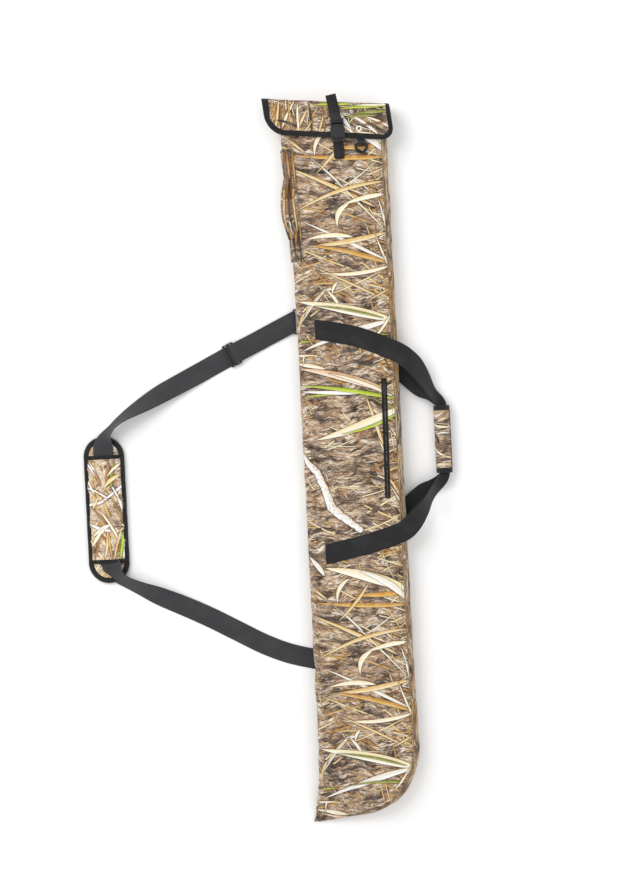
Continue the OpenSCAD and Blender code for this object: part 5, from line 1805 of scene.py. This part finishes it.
def make_pad():
    at, out = stadium_path()
    run = run_of(at)
    shape = [(-10.6, 8.3), (-10.2, 8.95), (-8.5, 9.05), (-4.5, 8.75), (-1.8, 7.9), (-0.45, 6.3), (-0.1, 4.5),
             (-0.5, 2.7), (-1.8, 1.1), (-4.5, 0.35), (-8.5, 0.2), (-10.4, 0.6), (-10.8, 2.0)]
    rings = []
    for a, z in shape:
        ease = 0.18 * np.sin(run / 4.6 + a) * np.interp(a, [-11, -8, -2, 0], [0.2, 1, 0.6, 0.2])
        p = at + out * (a + 0.12 * np.sin(run / 9))[:, None]
        rings.append(np.concatenate([p, (z + ease)[:, None]], 1))
    uv = wrapped_uv(run_of(arr(shape)), run)
    swept("pad_tape", arr(rings).transpose(1, 0, 2) + PAD, M_TAPE, "shoulder_pad", ["pad_binding"], uv,
          ring=True)
    # The cushion: nested stadiums, pushed out a little by its filling.
    fan = [0.02, 0.12, 0.25, 0.38, 0.5, 0.62, 0.74, 0.85, 0.94, 1.0]
    half = (CUSHION_L - CUSHION_W) / 2
    spine = np.clip(at[:, 1], -half, half)
    shells = []
    for top, f in [(True, f) for f in fan] + [(False, f) for f in fan[::-1]]:
        p = out * (29.6 * f)
        p[:, 1] += spine
        bulge = 1 - f ** 4
        z = np.full(len(p), 8.6 + 0.5 * bulge if top else 0.55 - 0.3 * bulge)
        if top:
            z = np.minimum(z + 0.22 * bulge * ripples(p[:, 0], p[:, 1], 38, 81), 9.25)
        shells.append(np.concatenate([p, z[:, None]], 1))
    P = arr(shells)
    obj = swept("pad_cushion", P + PAD, M_PAD, "shoulder_pad", ["pad_base"], P[..., :2], sharp=60)


def cover_profile(x):
    """Height of the cover's top over the pad, bowed over the webbing under it."""
    s = np.clip((np.abs(x) - 17.5) / 6.5, 0, 1)
    bow = 0.1 + 2.7 * (1 - s ** 2 * (3 - 2 * s))
    return 9.1 + bow + 1.15


def make_pad_cover():
    xs = np.linspace(-36.6, 36.6, 60)
    ys = np.linspace(-95.5, 97.5, 110)
    X, Y = np.meshgrid(xs, ys)
    P = np.stack([X, Y, cover_profile(X)], 2)
    pinned = np.zeros(X.shape, bool)
    pinned[:, :3] = pinned[:, -3:] = pinned[:2] = pinned[-2:] = True
    edge = np.clip((36.6 - np.abs(X)) / 5, 0, 1) * np.clip((97 - np.abs(Y - 1)) / 6, 0, 1)
    P[..., 2] += 0.3 * edge * ripples(X, Y, 44, 91)
    P = settle(P, pinned, 1.2, frames=14, pressure=0.8, shrink=-0.02, bend=0.3, tension=9.0)
    P[..., 2] = np.clip(P[..., 2] + 0.28 * edge * ripples(X, Y, 22, 92), cover_profile(X) - 0.45, 14.1)
    uv = np.stack([X, Y], 2)
    obj = cloth("pad_cover_cloth", P + PAD, uv, M_PAD, "shoulder_pad", ["pad_cover"], 1.0, (0, 0, 1))


def make_pad_bands():
    """Bands of tape across each end of the cover and along its sides, and the pad's stitches."""
    parts = []
    x = np.linspace(-37.2, 37.2, 46)
    section = [(0, 0.2), (0.4, 0.85), (1.6, 1.05), (4, 1.1), (6.3, 1.05), (7.4, 0.85), (7.8, 0.2), (7.4, -0.9),
               (4, -1.1), (0.4, -0.9)]
    for y0 in (-102.2, 96.2):
        rings = arr([[(u, y0 + a, cover_profile(u) + b - 0.35) for a, b in section] for u in x]) + PAD
        rings[..., 2] = np.minimum(rings[..., 2], 14.2)
        parts.append(swept_part(rings, 1.7, x))
    ys = np.linspace(-96.5, 98.5, 90)
    section = [(0, -0.2), (0.5, 0.6), (2, 0.8), (4.5, 0.8), (6.2, 0.55), (6.8, -0.3), (6.4, -1.5), (3, -1.7),
               (0.4, -1.4)]
    for s in (-1, 1):
        rings = [[(s * (30.6 + a + 0.15 * math.sin(v / 6.0)), v, cover_profile(min(30.6 + a, 36.6)) + b + 0.1)
                  for a, b in section] for v in ys]
        parts.append(swept_part(arr(rings) + PAD, 1.6, ys))
    points, faces, uv = joined(parts)
    me = mesh_from("pad_band_tape", points, faces, uv)
    add_piece("pad_band_tape", me, M_TAPE, "shoulder_pad", ["pad_bands"])
    up = (0, 0, 1)
    high = cover_profile(33.2) + 1.0
    lines = [(arr([(x, v, high) for v in np.linspace(-92, 94, 90)]) + PAD, up) for x in (-32.2, 32.2)]
    stitches("pad_cover_stitches", lines, M_THREAD, "shoulder_pad", "binding", pitch=3.8, length=2.9, r=0.28)
    at, out = stadium_path()
    line = np.concatenate([at - out * 8.6, np.full((len(at), 1), 9.15)], 1) + PAD
    lines = [(line, up)]
    for y in (-98.3, 100.1):
        lines.append((arr([[u, y, cover_profile(u) + 0.78] for u in np.linspace(-34, 34, 40)]) + PAD, up))
    stitches("pad_tape_stitches", lines, M_THREAD, "shoulder_pad", "binding", pitch=3.8, length=2.8, r=0.3)


make_pad()
make_pad_cover()
make_pad_bands()
